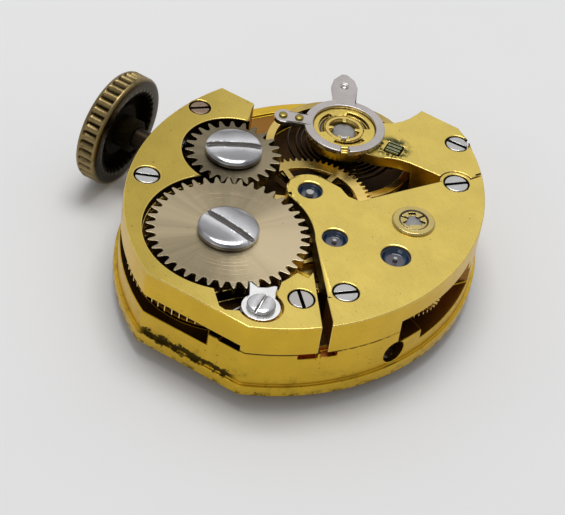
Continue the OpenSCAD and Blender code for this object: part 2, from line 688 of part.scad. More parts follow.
module crown_wheel() color(steel) at(W, crown_wheel_z) difference() {
  linear_extrude(crown_t) polygon(wolf_teeth(crown_n, crown_tip, crown_root, crown_phase));
  translate([0, 0, -1]) cylinder(h = 3, r = core_r + 0.03);
}

core_r = 0.7;
module crown_wheel_core() color(steel) at(W, crown_wheel_z - 0.02) ring(core_r, 0.26, crown_t + 0.04);

module crown_wheel_screw() color(steel)
  domed_screw(W, wheel_top + 0.02, crown_screw_r, dome_h, 0.26, 0.84, 36, 0.2);

module click() color(steel) at([0, 0], click_z) difference() {
  union() {
    at(click_p) cylinder(h = click_t, r = click_r);
    at(click_p) rotate(click_a + 180) linear_extrude(click_t) polygon([[0.35, 0.45], [0.62, 0.24], [1.2, 0.035],
      [1.285, -0.01], [1.2, -0.05], [0.94, -0.19], [0.87, -0.5], [0.9, -0.8], [0.84, -0.87],
      [0.54, -0.72], [0.25, -0.61], [0.3, 0]]);
  }
  translate([click_p[0], click_p[1], -1]) cylinder(h = 3, r = 0.3);
}

module click_screw() color(steel) {
  domed_screw(click_p, wheel_top + 0.01, 0.5, 0.2, 0.2, 0.9, 98, 0.1);
  at(click_p, click_z - 0.02) ring(0.28, 0.2, click_t + 0.03);
}

// A bent wire that presses on the click
module click_spring() color(steel) at([0, 0], top_z - 0.8) linear_extrude(0.2)
  polygon([[0.7, -6.95], [0.98, -7.08], [1.02, -6.98], [0.86, -6.9], [1.02, -6.3], [1.12, -5.92],
    [1.06, -5.9], [0.96, -6.3], [0.78, -6.88]]);

// Barrel

barrel_pivot_r = 0.42;
drum_wall = 0.14;
lid_t = 0.12;

module barrel_drum() color(brass) at(B, 0) difference() {
  union() {
    translate([0, 0, barrel_z]) cylinder(h = barrel_h, r = drum_r);
    translate([0, 0, barrel_top - tooth_h]) linear_extrude(tooth_h)
      polygon(gear(barrel_m, barrel_n, barrel_phase));
  }
  translate([0, 0, barrel_z - 1]) cylinder(h = 1 + barrel_h - 0.14, r = drum_r - drum_wall);
  translate([0, 0, barrel_z]) cylinder(h = 2, r = arbor_r + 0.03);
}

module barrel_cover() color(brass) at(B, barrel_z) difference() {
  cylinder(h = lid_t, r = drum_r - drum_wall);
  translate([0, 0, -1]) cylinder(h = 3, r = barrel_pivot_r + 0.03);
}

module barrel_arbor() color(steel) at(B, 0) {
  difference() {
    union() {
      translate([0, 0, barrel_floor - 0.3]) cylinder(h = 1, r = barrel_pivot_r);
      translate([0, 0, barrel_z + lid_t + 0.02]) cylinder(h = barrel_h - lid_t - 0.18, r = 0.8);
      translate([0, 0, barrel_top - 0.2]) cylinder(h = ratchet_z - barrel_top + 0.19, r = arbor_r);
      translate([-square_w / 2 + play, -square_w / 2 + play, ratchet_z - 0.1])
        cube([square_w - 2 * play, square_w - 2 * play, ratchet_t + 0.08]);
    }
    translate([0, 0, wheel_top - 0.8]) cylinder(h = 2, r = 0.2 + foot_clear);
  }
}

spring_in = 0.83;
spring_out = drum_r - drum_wall - 0.03;
spring_turns = 7;
function spiral(r0, r1, n, steps) = [for (i = [0:steps]) polar(r0 + (r1 - r0) * i / steps,
  360 * n * i / steps)];
module strip(r0, r1, n, t, steps) polygon(concat(spiral(r0, r1, n, steps),
  [for (i = [steps:-1:0]) spiral(r0 + t, r1 + t, n, steps)[i]]));

module mainspring() color(dark_steel) at(B, barrel_z + lid_t + 0.05)
  linear_extrude(barrel_h - lid_t - 0.26)
  strip(spring_in, spring_out - 0.09, spring_turns, 0.08, spring_turns * 24);

// Going train

centre_arbor_r = 0.17;
// Phases that put a leaf in the middle of a gap on each line of centres
barrel_phase = barrel_a + 180 + 180 / barrel_n;
centre_wheel_phase = third_a + 180 / centre_n;
third_wheel_phase = fourth_a + 180 / third_n;
fourth_wheel_phase = escape_a + 180 / third_n;

module centre_wheel() color(brass) at([0, 0], centre_z)
  spoked(gear(centre_m, centre_n, centre_wheel_phase), centre_t, 1.81, 0.7, 0.3, 6, 89.5, 0.22);

module centre_pinion() color(steel) {
  bore([0, 0], -post_h + 0.05, centre_z - 0.3, centre_arbor_r);
  at([0, 0], plate_t - 0.2) linear_extrude(third_z - gap - plate_t + 0.2)
    polygon(leaves(barrel_m, centre_pinion_n, barrel_a));
  bore([0, 0], third_z - gap - 0.1, centre_z, 0.42);
  bore([0, 0], centre_z - 0.1, centre_z + centre_t + 0.03, 0.3);
  bore([0, 0], centre_z, top_z - 0.09, centre_pivot_r);
}

module arbor(p, z0, z1, body_r, piv) {
  bore(p, z0, z1, piv);
  bore(p, z0 + 0.22, z1 - 0.22, body_r);
}

module third_wheel() color(brass) at(T, third_z)
  spoked(gear(third_m, third_n, third_wheel_phase), wheel_t, 1.6, 0.5, 0.16, 5, 20, 0.2);

module third_pinion() color(steel) {
  arbor(T, plate_t - 0.33 - jewel_t, top_z - 0.12, 0.16, pivot_r);
  at(T, centre_z - 0.12) linear_extrude(centre_t + 0.17)
    polygon(leaves(centre_m, third_pinion_n, third_a + 180));
}

module fourth_wheel() color(brass) at(F, fourth_z)
  spoked(gear(fourth_m, third_n, fourth_wheel_phase), wheel_t, 1.48, 0.45, 0.15, 5, 20, 0.18);

module fourth_pinion() color(steel) {
  arbor(F, plate_t - 0.68 - jewel_t, top_z - 0.12, 0.15, pivot_r);
  at(F, third_z - 0.1) linear_extrude(wheel_t + 0.19)
    polygon(leaves(third_m, fourth_pinion_n, fourth_a + 180));
}

// Club teeth that lean forwards
function club_teeth(n, tip, root, ph) =
  [for (i = [0:n - 1]) let (c = ph + 360 * i / n)
    each [polar(root, c - 7), polar(tip - 0.06, c - 1), polar(tip, c + 2.6),
      polar(tip - 0.12, c + 3.2), polar(root, c - 2)]];
escape_phase = pallet_a + 12;

module escape_wheel() color(steel) at(E, escape_z)
  spoked(club_teeth(escape_n, escape_r, escape_r - 0.38, escape_phase), 0.1, 0.92, 0.3, 0.12,
    4, 20, 0.14);

module escape_pinion() color(steel) {
  bore(E, escape_z - 0.45 - jewel_t + 0.02, train_roof + 0.2, 0.05);
  bore(E, escape_z - 0.4, train_roof - 0.04, 0.12);
  at(E, fourth_z - 0.1) linear_extrude(wheel_t + 0.2)
    polygon(leaves(fourth_m, escape_pinion_n, escape_a + 180));
}

// Escapement

fork_len = norm(A - P);
module stone_plan(s, grow) translate([-0.49, s * 0.715]) rotate(s * 30)
  translate([-grow, -0.06 - grow]) square([0.36 + 2 * grow, 0.12 + 2 * grow]);
module pallet_fork() color(steel) at(P, escape_z) rotate(fork_a) difference() {
  union() {
    linear_extrude(0.12) difference() {
      polygon([[0.1, -0.11], [fork_len - 0.85, -0.07], [fork_len - 0.62, -0.22],
        [fork_len - 0.4, -0.22], [fork_len - 0.4, 0.22], [fork_len - 0.62, 0.22],
        [fork_len - 0.85, 0.07], [0.1, 0.11]]);
      translate([fork_len - 0.66, -0.11]) square([0.3, 0.22]);
    }
    cylinder(h = 0.12, r = 0.2);
    for (s = [-1, 1]) linear_extrude(0.12) difference() {
      polygon([for (p = [[0.12, 0], [-0.12, 0.1], [-0.3, 0.5], [-0.39, 0.64], [-0.31, 0.95],
        [-0.1, 1.0], [0.02, 0.85], [-0.06, 0.6], [0.15, 0.15]]) [p[0], s * p[1]]]);
      stone_plan(s, 0.003);
    }
  }
  translate([0, 0, -1]) cylinder(h = 3, r = 0.09);
}

module pallet_stones() color([0.6, 0.08, 0.15]) at(P, escape_z + 0.01)
  rotate(fork_a) for (s = [-1, 1]) linear_extrude(0.1) stone_plan(s, 0);

module pallet_arbor() color(steel) {
  bore(P, escape_z - 0.45 - jewel_t + 0.02, plate_t - 0.1, 0.05);
  bore(P, escape_z - 0.4, plate_t - 0.32, 0.09);
}

// Balance

module balance_wheel() color(brass) at(A, 0) {
  translate([0, 0, rim_z]) ring(balance_r, balance_r - balance_rim_w, balance_rim_h);
  translate([0, 0, rim_z + 0.06]) linear_extrude(0.1) difference() {
    union() {
      circle(0.42);
      for (a = [40, 160, 280]) rotate(a) translate([0, -0.13])
        square([balance_r - balance_rim_w / 2, 0.26]);
    }
    circle(0.2);
  }
}

module balance_staff() color(steel) at(A, 0) {
  translate([0, 0, 0.97]) cylinder(h = cock_z + 0.19 - 0.97, r = 0.05);
  translate([0, 0, plate_t - 0.7]) cylinder(h = cock_z - plate_t + 0.66, r = 0.12);
  translate([0, 0, rim_z - 0.1]) cylinder(h = 0.26, r = 0.2);
}

roller_z = escape_z + 0.2;
module roller() color(steel) at(A, 0) difference() {
  union() {
    translate([0, 0, roller_z]) cylinder(h = 0.1, r = 0.7);
    translate([0, 0, escape_z]) cylinder(h = 0.22, r = 0.3);
  }
  translate([0, 0, 0.1]) cylinder(h = 3, r = 0.12);
  rotate(fork_a + 180) translate([0.5, 0, 0]) cylinder(h = 3, r = 0.08);
}

module impulse_jewel() color([0.6, 0.08, 0.15])
  at(A + polar(0.5, fork_a + 180), escape_z - 0.02) cylinder(h = 0.32, r = 0.08);

// The spring winds out evenly and then runs round the balance's axis to its stud
hair_step = 0.15;
function ease(t) = let (u = max(0, min(1, t))) u * u * (3 - 2 * u);
function hair_at(a) = 0.31 + (hair_r - 0.31 - hair_step - hair_t / 2) * min(1, a / (360 * hair_turns - 200))
  + hair_step * ease((a - 360 * hair_turns + 240) / 55);
module hairspring() color([0.25, 0.3, 0.45]) at(A, hair_z) linear_extrude(hair_h)
  rotate(stud_a) polygon(concat([for (i = [0:24 * hair_turns]) polar(hair_at(i * 15), i * 15)],
    [for (i = [24 * hair_turns:-1:0]) polar(hair_at(i * 15) + hair_t, i * 15)]));

module hairspring_collet() color(brass) at(A, hair_z - 0.03) difference() {
  cylinder(h = hair_h + 0.06, r = 0.29);
  translate([0, 0, -1]) cylinder(h = 3, r = 0.12);
}

// Regulator

reg_z = top_z + 0.02;
arm_a = 205.5;
split_w = 0.24;

module regulator() color(steel) at(A, reg_z) difference() {
  union() {
    ring(regulator_r, regulator_r - regulator_w, regulator_t);
    linear_extrude(regulator_t) {
      rotate(tail_a) polygon([[regulator_r - 0.1, -0.42], [regulator_r + 0.3, -0.46],
        [tail_l - 0.75, -0.5], [tail_l - 0.35, -0.4], [tail_l - 0.08, -0.17], [tail_l, -0.1],
        [tail_l, 0.1], [tail_l - 0.08, 0.17], [tail_l - 0.35, 0.4], [tail_l - 0.75, 0.5],
        [regulator_r + 0.3, 0.46], [regulator_r - 0.1, 0.42]]);
      rotate(arm_a) difference() {
        union() {
          translate([regulator_r - 0.1, -0.3]) square([0.85, 0.6]);
          translate([regulator_r + 0.75, 0]) circle(0.38);
        }
      }
    }
  }
  rotate(tail_a + 180) translate([0.5, -split_w / 2, -1]) cube([2, split_w, 3]);
  for (r = curb_at) rotate(arm_a) translate([r, 0, -1]) cylinder(h = 3, r = 0.1);
  rotate(tail_a) translate([tail_l - 0.72, 0, regulator_t + 0.05]) sphere(0.16);
}

curb_at = [hair_r - 0.3, hair_r + 0.3];
module curb_pins() color(brass) at(A) rotate(arm_a) for (s = [-1, 1]) {
  translate([hair_r + s * 0.3, 0, reg_z - 0.1]) cylinder(h = regulator_t + 0.12, r = 0.09);
  translate([hair_r + s * 0.3, 0, reg_z + regulator_t]) cylinder(h = 0.09, r = 0.16);
  translate([hair_r + s * 0.2 - 0.16, -0.09, reg_z - 0.16]) cube([0.32, 0.18, 0.12]);
  translate([hair_r + s * (hair_t / 2 + 0.07), 0, hair_z - 0.02])
    cylinder(h = reg_z - hair_z - 0.1, r = 0.045);
}

// Stem, crown and keyless works

module along_x(x) translate([x, 0, stem_z]) rotate([0, 90, 0]) children();
groove_x = -5.75;
pinion_x = -5.3;
clutch_x = -4.42;
clutch_l = 1.52;
stem_square = 0.4;

module winding_stem() color(dark_steel) {
  along_x(-crown_x - 0.5) cylinder(h = crown_x + 0.5 + groove_x, r = stem_r);
  along_x(groove_x - 0.01) cylinder(h = 0.32, r = 0.24);
  along_x(groove_x + 0.3) cylinder(h = 0.12, r = stem_r);
  along_x(groove_x + 0.41) cylinder(h = 0.95, r = 0.32);
  translate([groove_x + 1.34, -stem_square / 2, stem_z - stem_square / 2])
    cube([1.85, stem_square, stem_square]);
  along_x(groove_x + 3.18) cylinder(h = 0.45, r = 0.16);
}

module crown_flutes(r, n) polygon([for (i = [0:n - 1]) let (p = 360 / n)
  each [polar(r, i * p - p * 0.16), polar(r, i * p + p * 0.16), polar(r - 0.1, i * p + p * 0.3),
    polar(r - 0.13, i * p + p * 0.5), polar(r - 0.1, i * p + p * 0.7)]]);

module crown() color([0.45, 0.38, 0.25]) along_x(-crown_x) {
  rim = 0.13;
  difference() {
    union() {
      translate([0, 0, -crown_w + rim]) linear_extrude(crown_w - 2 * rim) crown_flutes(crown_r, flutes);
      rotate_extrude() polygon([[0, -crown_w - 0.32], [0.8, -crown_w - 0.3], [1.4, -crown_w - 0.22],
        [1.85, -crown_w - 0.1], [crown_r - 0.06, -crown_w + 0.02], [crown_r, -crown_w + rim + 0.02],
        [crown_r - 0.13, -crown_w + rim + 0.04], [crown_r - 0.13, -rim - 0.04],
        [crown_r, -rim - 0.02], [crown_r - 0.05, -0.03], [crown_r - 0.2, 0], [0, 0]]);
    }
    translate([0, 0, -0.5]) ring(1.62, 1.02, 1);
    translate([0, 0, -0.3]) ring(1.03, 0.62, 1);
    translate([0, 0, -0.5]) cylinder(h = 3, r = stem_r + foot_clear);
  }
  difference() {
    translate([0, 0, -0.35]) cylinder(h = 0.75, r = 0.62);
    translate([0, 0, -0.5]) cylinder(h = 3, r = stem_r + foot_clear);
  }
}

module winding_pinion() color(steel) along_x(pinion_x) difference() {
  union() {
    linear_extrude(0.5) polygon(teeth(pinion_n, pinion_r, pinion_r - 0.26, 0.22, 0.6, 90));
    translate([0, 0, 0.49]) cylinder(h = 0.25, r = 0.66);
    translate([0, 0, 0.73]) linear_extrude(0.1) saw_ring(0.62, 0.4, 0);
  }
  translate([0, 0, -1]) cylinder(h = 3, r = 0.32 + play);
}

// A ring of face teeth, seen from the end: every second sector stands up
module saw_ring(r_out, r_in, ph) difference() {
  union() for (i = [0:5]) rotate(ph + i * 60) wedge(0, 26, r_out - 0.02);
  circle(r_in);
}

module clutch() color(steel) along_x(clutch_x) difference() {
  union() {
    translate([0, 0, -0.05]) linear_extrude(0.1) saw_ring(clutch_r, 0.4, 32);
    translate([0, 0, 0.04]) cylinder(h = 0.4, r = clutch_r);
    translate([0, 0, 0.43]) cylinder(h = 0.3, r = 0.4);
    translate([0, 0, 0.72]) cylinder(h = 0.62, r = clutch_r);
    translate([0, 0, 1.33]) linear_extrude(clutch_l - 1.33) saw_ring(clutch_r, 0.42, 15);
  }
  cube([stem_square + 2 * play, stem_square + 2 * play, 9], center = true);
}

lever_z = 0.5;
lever_t = 0.18;
module setting_lever() color(steel) difference() {
  union() {
    at([0, 0], lever_z) linear_extrude(lever_t) hull() {
      translate(setting_p) circle(0.32, $fn = 32);
      translate(lever_pin) circle(0.14, $fn = 32);
    }
    bore(lever_pin, lever_z, stem_z, 0.1);
    bore(setting_p, lever_z, 1.2, 0.15);
  }
}

module yoke() color(steel) {
  at([0, 0], lever_z) linear_extrude(lever_t) {
    hull() {
      translate(yoke_p) circle(0.3, $fn = 32);
      translate(yoke_pin) circle(0.13, $fn = 32);
    }
  }
  bore(yoke_pin, lever_z, stem_z, 0.09);
  bore(yoke_p, lever_z, 0.93, 0.15);
}

module yoke_spring() color(steel) at([0, 0], lever_z) linear_extrude(0.12)
  polygon([[-3.12, -2.6], [-2.85, -2.62], [-2.78, -2.4], [-2.95, -2.25], [-3.3, -1.2],
    [-3.6, -0.62], [-3.66, -0.64], [-3.38, -1.22], [-3.08, -2.3]]);

module keyless_cover() color(steel) difference() {
  at([0, 0], cover_z) linear_extrude(cover_t) difference() {
    cover_plan(0);
    translate([-4.9, -0.55]) circle(0.5);
    translate([-3.9, -1.2]) circle(0.35);
  }
  for (p = keyless_screw_at) bore(p, 0, 2, 0.17);
}

module keyless_screws() color(steel) for (p = keyless_screw_at)
  at(p, 0.1) difference() {
    union() {
      cylinder(h = 0.2, r = 0.3);
      translate([0, 0, 0.19]) cylinder(h = 0.68, r = 0.15);
    }
    rotate(40) translate([-1, -0.04, -0.9]) cube([2, 0.08, 1]);
  }

// Motion works

module setting_wheel() color(steel) at(S, 0.66) difference() {
  linear_extrude(0.4) polygon(gear(minute_m, setting_n, setting_phase));
  translate([0, 0, -1]) cylinder(h = 3, r = 0.2);
}

minute_a = atan2(M[1], M[0]);
minute_phase = minute_a + 180 + 180 / minute_n;
setting_dir = dir_of(M, S);
setting_phase = setting_dir + 180 + (setting_dir - minute_phase) * minute_n / setting_n
  + 180 / setting_n;

module minute_wheel() color(brass) at(M, 0) difference() {
  union() {
    translate([0, 0, 0.66]) linear_extrude(0.14) polygon(gear(minute_m, minute_n, minute_phase));
    translate([0, 0, 0.1]) linear_extrude(0.57)
      polygon(leaves(hour_m, minute_pinion_n, minute_a + 180));
  }
  translate([0, 0, -1]) cylinder(h = 3, r = 0.17);
}

module cannon_pinion() color(steel) difference() {
  union() {
    at([0, 0], 0.6) linear_extrude(0.42) polygon(leaves(minute_m, cannon_n, minute_a));
    // Straight where the minute hand is pressed on, slightly tapered above
    rotate_extrude() polygon([[0, -post_h], [minute_post_r, -post_h],
      [minute_post_r, -post_h + 0.35], [minute_post_r - 0.01, 0.61], [0, 0.61]]);
  }
  bore([0, 0], -post_h + 0.04, 2, centre_arbor_r + play);
}

module hour_wheel() color(brass) difference() {
  union() {
    at([0, 0], 0.12) linear_extrude(0.14)
      polygon(gear(hour_m, hour_n, minute_a + 180 / hour_n));
    // Straight where the hour hand is pressed on, slightly tapered above
    rotate_extrude() polygon([[0, -post_h + 0.35], [hour_pipe_r, -post_h + 0.35],
      [hour_pipe_r, 0], [hour_pipe_r - 0.01, 0.55], [0, 0.55]]);
  }
  bore([0, 0], -2, 2, minute_post_r + play);
}

mainplate();
barrel_bridge();
train_bridge();
balance_cock();
pallet_bridge();
bridge_screws();
pallet_bridge_screw();
bridge_jewels();
plate_jewels();
escape_setting();
escape_clip();
cap_jewels();
shock_blocks();
shock_springs();
hairspring_stud();
ratchet_wheel();
ratchet_screw();
crown_wheel();
crown_wheel_core();
crown_wheel_screw();
click();
click_screw();
click_spring();
barrel_drum();
barrel_cover();
barrel_arbor();
mainspring();
centre_wheel();
centre_pinion();
third_wheel();
third_pinion();
fourth_wheel();
fourth_pinion();
escape_wheel();
escape_pinion();
pallet_fork();
pallet_stones();
pallet_arbor();
balance_wheel();
balance_staff();
roller();
impulse_jewel();
hairspring();
hairspring_collet();
regulator();
curb_pins();
winding_stem();
crown();
winding_pinion();
clutch();
yoke();
yoke_spring();
setting_lever();
keyless_cover();
keyless_screws();
setting_wheel();
minute_wheel();
cannon_pinion();
hour_wheel();
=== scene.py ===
"""Small hand-wound watch movement, seen from the bridge side.

Every piece is worked out in millimetres and put into its mesh in metres, in the frame of
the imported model: the hands' axis is the origin, +Z points to the bridges, the stem leaves
along -X and the balance lies towards +Y.
"""
import math

import bmesh
import bpy
import numpy as np
from bpy.props import FloatProperty, FloatVectorProperty, IntProperty, PointerProperty
from mathutils import Matrix, Vector
from mathutils.geometry import convex_hull_2d


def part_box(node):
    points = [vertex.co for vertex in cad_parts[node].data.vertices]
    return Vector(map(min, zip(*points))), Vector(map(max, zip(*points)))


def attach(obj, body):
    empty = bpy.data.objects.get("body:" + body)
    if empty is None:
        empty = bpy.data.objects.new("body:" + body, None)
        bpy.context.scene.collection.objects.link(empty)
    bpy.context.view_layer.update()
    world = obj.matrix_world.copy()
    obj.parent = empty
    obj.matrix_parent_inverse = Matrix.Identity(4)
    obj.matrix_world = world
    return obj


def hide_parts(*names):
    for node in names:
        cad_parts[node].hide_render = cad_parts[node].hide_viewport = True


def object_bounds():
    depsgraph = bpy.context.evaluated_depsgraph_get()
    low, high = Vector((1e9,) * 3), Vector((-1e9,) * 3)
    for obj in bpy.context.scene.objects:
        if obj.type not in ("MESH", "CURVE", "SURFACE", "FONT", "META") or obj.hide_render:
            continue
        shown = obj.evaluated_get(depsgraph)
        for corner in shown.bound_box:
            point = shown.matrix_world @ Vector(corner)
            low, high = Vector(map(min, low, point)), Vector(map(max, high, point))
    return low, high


bl_info = {
    "name": "Watch Movement",
    "version": (1, 0, 0),
    "blender": (4, 5, 0),
    "location": "View3D > Sidebar > Movement",
    "description": "Builds a small hand-wound watch movement with its crown",
    "category": "Add Mesh",
}

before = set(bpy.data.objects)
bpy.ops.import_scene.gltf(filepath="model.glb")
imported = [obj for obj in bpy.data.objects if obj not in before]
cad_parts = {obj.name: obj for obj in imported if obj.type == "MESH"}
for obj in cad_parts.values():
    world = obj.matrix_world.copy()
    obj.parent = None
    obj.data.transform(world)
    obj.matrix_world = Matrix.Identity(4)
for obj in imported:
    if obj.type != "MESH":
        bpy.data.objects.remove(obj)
cad_box = [list(corner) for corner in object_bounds()]

MM = 0.001


# Places in the frame


def low(node):
    """Lowest corner of a node of the frame, in millimetres."""
    return np.array(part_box(node)[0]) / MM


def high(node):
    """Highest corner of a node of the frame, in millimetres."""
    return np.array(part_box(node)[1]) / MM


def axis_of(node):
    """Middle of a round node in plan, in millimetres."""
    return (low(node)[:2] + high(node)[:2]) / 2


def polar(radius, degrees):
    """Point or points at a distance and a direction from the origin."""
    turn = np.radians(degrees)
    return np.stack([radius * np.cos(turn), radius * np.sin(turn)], axis=-1)


def arc(middle, radius, start, stop, count):
    """Points evenly spaced on a circular arc."""
    return np.asarray(middle) + polar(radius, np.linspace(start, stop, count))


def heading(start, end):
    """Direction from one point to another in plan, in degrees."""
    return math.degrees(math.atan2(end[1] - start[1], end[0] - start[0]))


def measured_teeth(node_name, middle, count):
    """Tip radius and the direction of one tooth, read from a toothed node of the frame.

    The direction is the mean of the tips' angles, each times the count, divided by the count.
    """
    tip_band = 0.005
    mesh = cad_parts[node_name].data
    corners = np.empty(len(mesh.vertices) * 3)
    mesh.vertices.foreach_get("co", corners)
    flat = corners.reshape(-1, 3)[:, :2] / MM - middle
    away = np.hypot(flat[:, 0], flat[:, 1])
    tip = away.max()
    spin = np.degrees(np.arctan2(flat[:, 1], flat[:, 0]))[away > tip - tip_band]
    turn = np.angle(np.mean(np.exp(1j * np.radians(spin * count))), deg=True) / count
    return float(tip), float(turn)


# Heights in millimetres, read from the frame where a node gives them

PLATE_TOP = 1.88
TOP = 3.13
FLANGE_TOP = 0.42
WINDOW_Z = 1.33
ESCAPE_Z = 1.36
TRAIN_ROOF = 2.35
COCK_Z = 2.68
STEM_Z = 1.555
FOOT_Z = 0.93
REGULATOR_Z = TOP + 0.02
RATCHET_Z = low("ratchet_wheel")[2]
CROWN_WHEEL_Z = low("crown_wheel")[2]
CLICK_Z = low("click")[2]
WHEEL_TOP = high("ratchet_wheel")[2]
CENTRE_TOP = high("centre_wheel")[2]
THIRD_TOP = high("third_wheel")[2]
BARREL_TOP = high("barrel_drum")[2]
WINDOW_ROOF = PLATE_TOP + 0.21
SETTING_Z = TOP - 0.42

# Clearances, and how deep the seats of screws and jewels are

SEAT_DEPTH = 0.34
GAP = 0.06
UNDER_WHEEL = 0.02

# Points along the outline's side arcs and along a small arc

SIDE_STEPS = 96
END_STEPS = 24

# Sides of round pieces, from pins and pivots up to the balance's rim

COARSE = 32
PLAIN = 48
SMOOTH = 64
FINE = 96
DRUM_SIDES = 128
RIM_SIDES = 160

# Where cutters start and end, clear of what they cut

UNDER = -1
OVER_PLATE = 3
OVER = TOP + 1
FAR_OVER = 9

# Axes and places in plan

HANDS = np.array((0.0, 0.0))
BARREL = axis_of("barrel_cover")
CROWN_WHEEL = axis_of("crown_wheel_core")
THIRD = axis_of("third_wheel")
FOURTH = axis_of("fourth_wheel")
ESCAPE = axis_of("escape_setting")
BALANCE = axis_of("balance_wheel")
CLICK = axis_of("click_screw")
PALLET = axis_of("pallet_arbor")
PALLET_SCREW = axis_of("pallet_bridge_screw")
BARREL_SCREWS = [(-4.976, -3.113), (-5.62, 1.317), (2.73, -5.051)]
TRAIN_SCREWS = [(3.946, 3.809), (3.76, -3.786)]
COCK_SCREWS = [(2.864, 5.806)]
SETTING_WHEEL = (-1.9, 0)
MINUTE_WHEEL = (-0.7734, 1.5698)

# The movement's outline, and the dial feet, one of which has a screw's hole in the side wall

SIDE_R = 8.2
SIDE_X = 1.98
SIDE_Y = -0.25
FRONT_Y = -7.38
BACK_Y = 6.63
FLANGE = 0.12
FOOT_REACH = 7.6
FOOT_TURN = -20.6
FOOT = np.array((-SIDE_X, SIDE_Y)) + polar(FOOT_REACH, FOOT_TURN)
DIAL_FEET = [(-4.8274, 3.1292), FOOT]

# Directions in degrees, from +X towards +Y

RATCHET_SLOT_TURN = -7
CROWN_SLOT_TURN = 36
CLICK_SLOT_TURN = 98
BRIDGE_SLOT_TURNS = (28, 45, -45, 48, 46, 4)
CLICK_TURN = 139.8
STUD_TURN = 8
ARM_TURN = 205.5
TAIL_TURN = 121
PAINTED_SHEEN_TURN = 15

# Radii and sizes in plan

HEAD_R = 0.43
WORN_HEAD_R = 0.36
COCK_HEAD_R = 0.40
HEAD_HEIGHT = 0.3
PINION_SINK = 0.49
SHOCK_R = 0.72
PINION_ROOM = 1.18
CLUTCH_ROOM = 0.68
STEM_BORE = 0.395
STEM_MOUTH = -7.4
CENTRE_ROOM = 2.425
THIRD_ROOM = 2.105
FOURTH_ROOM = 1.93
BARREL_ROOM = 3.5
BALANCE_ROOM = 2.93
STUD_REACH = 2.0
PIN_REACH = (1.7, 2.3)
RING_OUTER = 1.5
RING_INNER = 1.17

# Teeth of the winding wheels and the barrel

RATCHET_TEETH = 41
CROWN_WHEEL_TEETH = 24
BARREL_TEETH = 72
WINDING_DEPTH = 0.324
RATCHET_TIP, RATCHET_TURN = measured_teeth("ratchet_wheel", BARREL, RATCHET_TEETH)
CROWN_TIP, CROWN_TURN = measured_teeth("crown_wheel", CROWN_WHEEL, CROWN_WHEEL_TEETH)
RATCHET_ROOT = RATCHET_TIP - WINDING_DEPTH
CROWN_ROOT = CROWN_TIP - WINDING_DEPTH

# Domed screw heads: radius, height and width of the slot

RATCHET_HEAD = (1.09, 0.34, 0.26)
CROWN_WHEEL_HEAD = (1.04, 0.34, 0.27)
CLICK_HEAD = (0.5, 0.2, 0.1)

# The crown's radius, its outer face and its width

CROWN_R = 2.17
CROWN_X = -7.8
CROWN_WIDTH = 0.86

# Each train jewel's place, the radius of its sink and that of its hole

TRAIN_SEATS = [(HANDS, 0.47, 0.13), (THIRD, 0.48, 0.07), (FOURTH, 0.56, 0.07)]

# Plans of the bridges, and of the plate's lowered part behind the balance

BARREL_PLAN = [
    (-7, 2.83), (-4.18, 2.83), (-4.1, 2.5), (-3.76, 1.85), CROWN_WHEEL, (CROWN_WHEEL[0], -1.4),
    (BARREL[0], -1.3), BARREL, (1.85, -3.3), (2.3, -3.3), (2.33, -3.6), (3.95, -5.68),
    (4.6, -6.5), (4.6, -8), (-7, -8),
]
TRAIN_PLAN = [
    (0, 0.87), (0.8, 0.83), (1.26, 0.6), (1.73, 0.66), (1.97, 1.11), (3.4, 3.45), (3.5, 3.75),
    (4.22, 4.28), (4.50, 4.84), (8, 4.84), (8, -8), (5, -7), (4.15, -5.32), (1.30, -1.90),
    (0.3, -1.1), (-0.6, -0.62), (-0.87, 0), (-0.6, 0.63),
]
COCK_PLAN = [
    (0.87, 8), (0.86, 6.45), (0.77, 5.98), (0.64, 5.63), (0.4, 5.25), (-0.5, 4.6), BALANCE + (0, -1),
    (0.2, 3.0), (1.0, 3.2), (1.34, 3.43), (1.68, 3.58), (2.06, 3.67), (2.87, 3.74), (3.5, 3.78),
    (4.18, 4.31), (4.46, 4.87), (8, 4.87), (8, 8),
]
LOWERED_PLAN = [(-4.12, 2.83), (-8, 2.83), (-8, 8), (0.75, 8), (0.75, 5.2), (-2.5, 2.6)]


# Sizes and colours


class MovementSizes(bpy.types.PropertyGroup):
    """Sizes of the finishing work, in millimetres, and counts."""

    bevel: FloatProperty(
        name="Bevel",
        description="Width of the bevel along the plates' edges",
        default=0.035,
        min=0.0,
        max=0.1,
    )
    small_bevel: FloatProperty(
        name="Small bevel",
        description="Width of the broken edges of wheels and screws",
        default=0.014,
        min=0.0,
        max=0.05,
    )
    round_sides: IntProperty(
        name="Round sides",
        description="Sides of a full circle",
        default=128,
        min=24,
        max=256,
    )
    slot: FloatProperty(
        name="Screw slot",
        description="Width of the bridge screws' slots",
        default=0.12,
        min=0.05,
        max=0.2,
    )
    flutes: IntProperty(
        name="Flutes",
        description="Number of flutes round the crown",
        default=36,
        min=20,
        max=60,
    )
    hair_turns: IntProperty(
        name="Hairspring turns",
        description="Turns of the hairspring",
        default=9,
        min=5,
        max=14,
    )


def colour(name, description, value):
    """A colour setting with its default."""
    return FloatVectorProperty(
        name=name, description=description, default=value, subtype="COLOR", size=3, min=0.0, max=1.0
    )


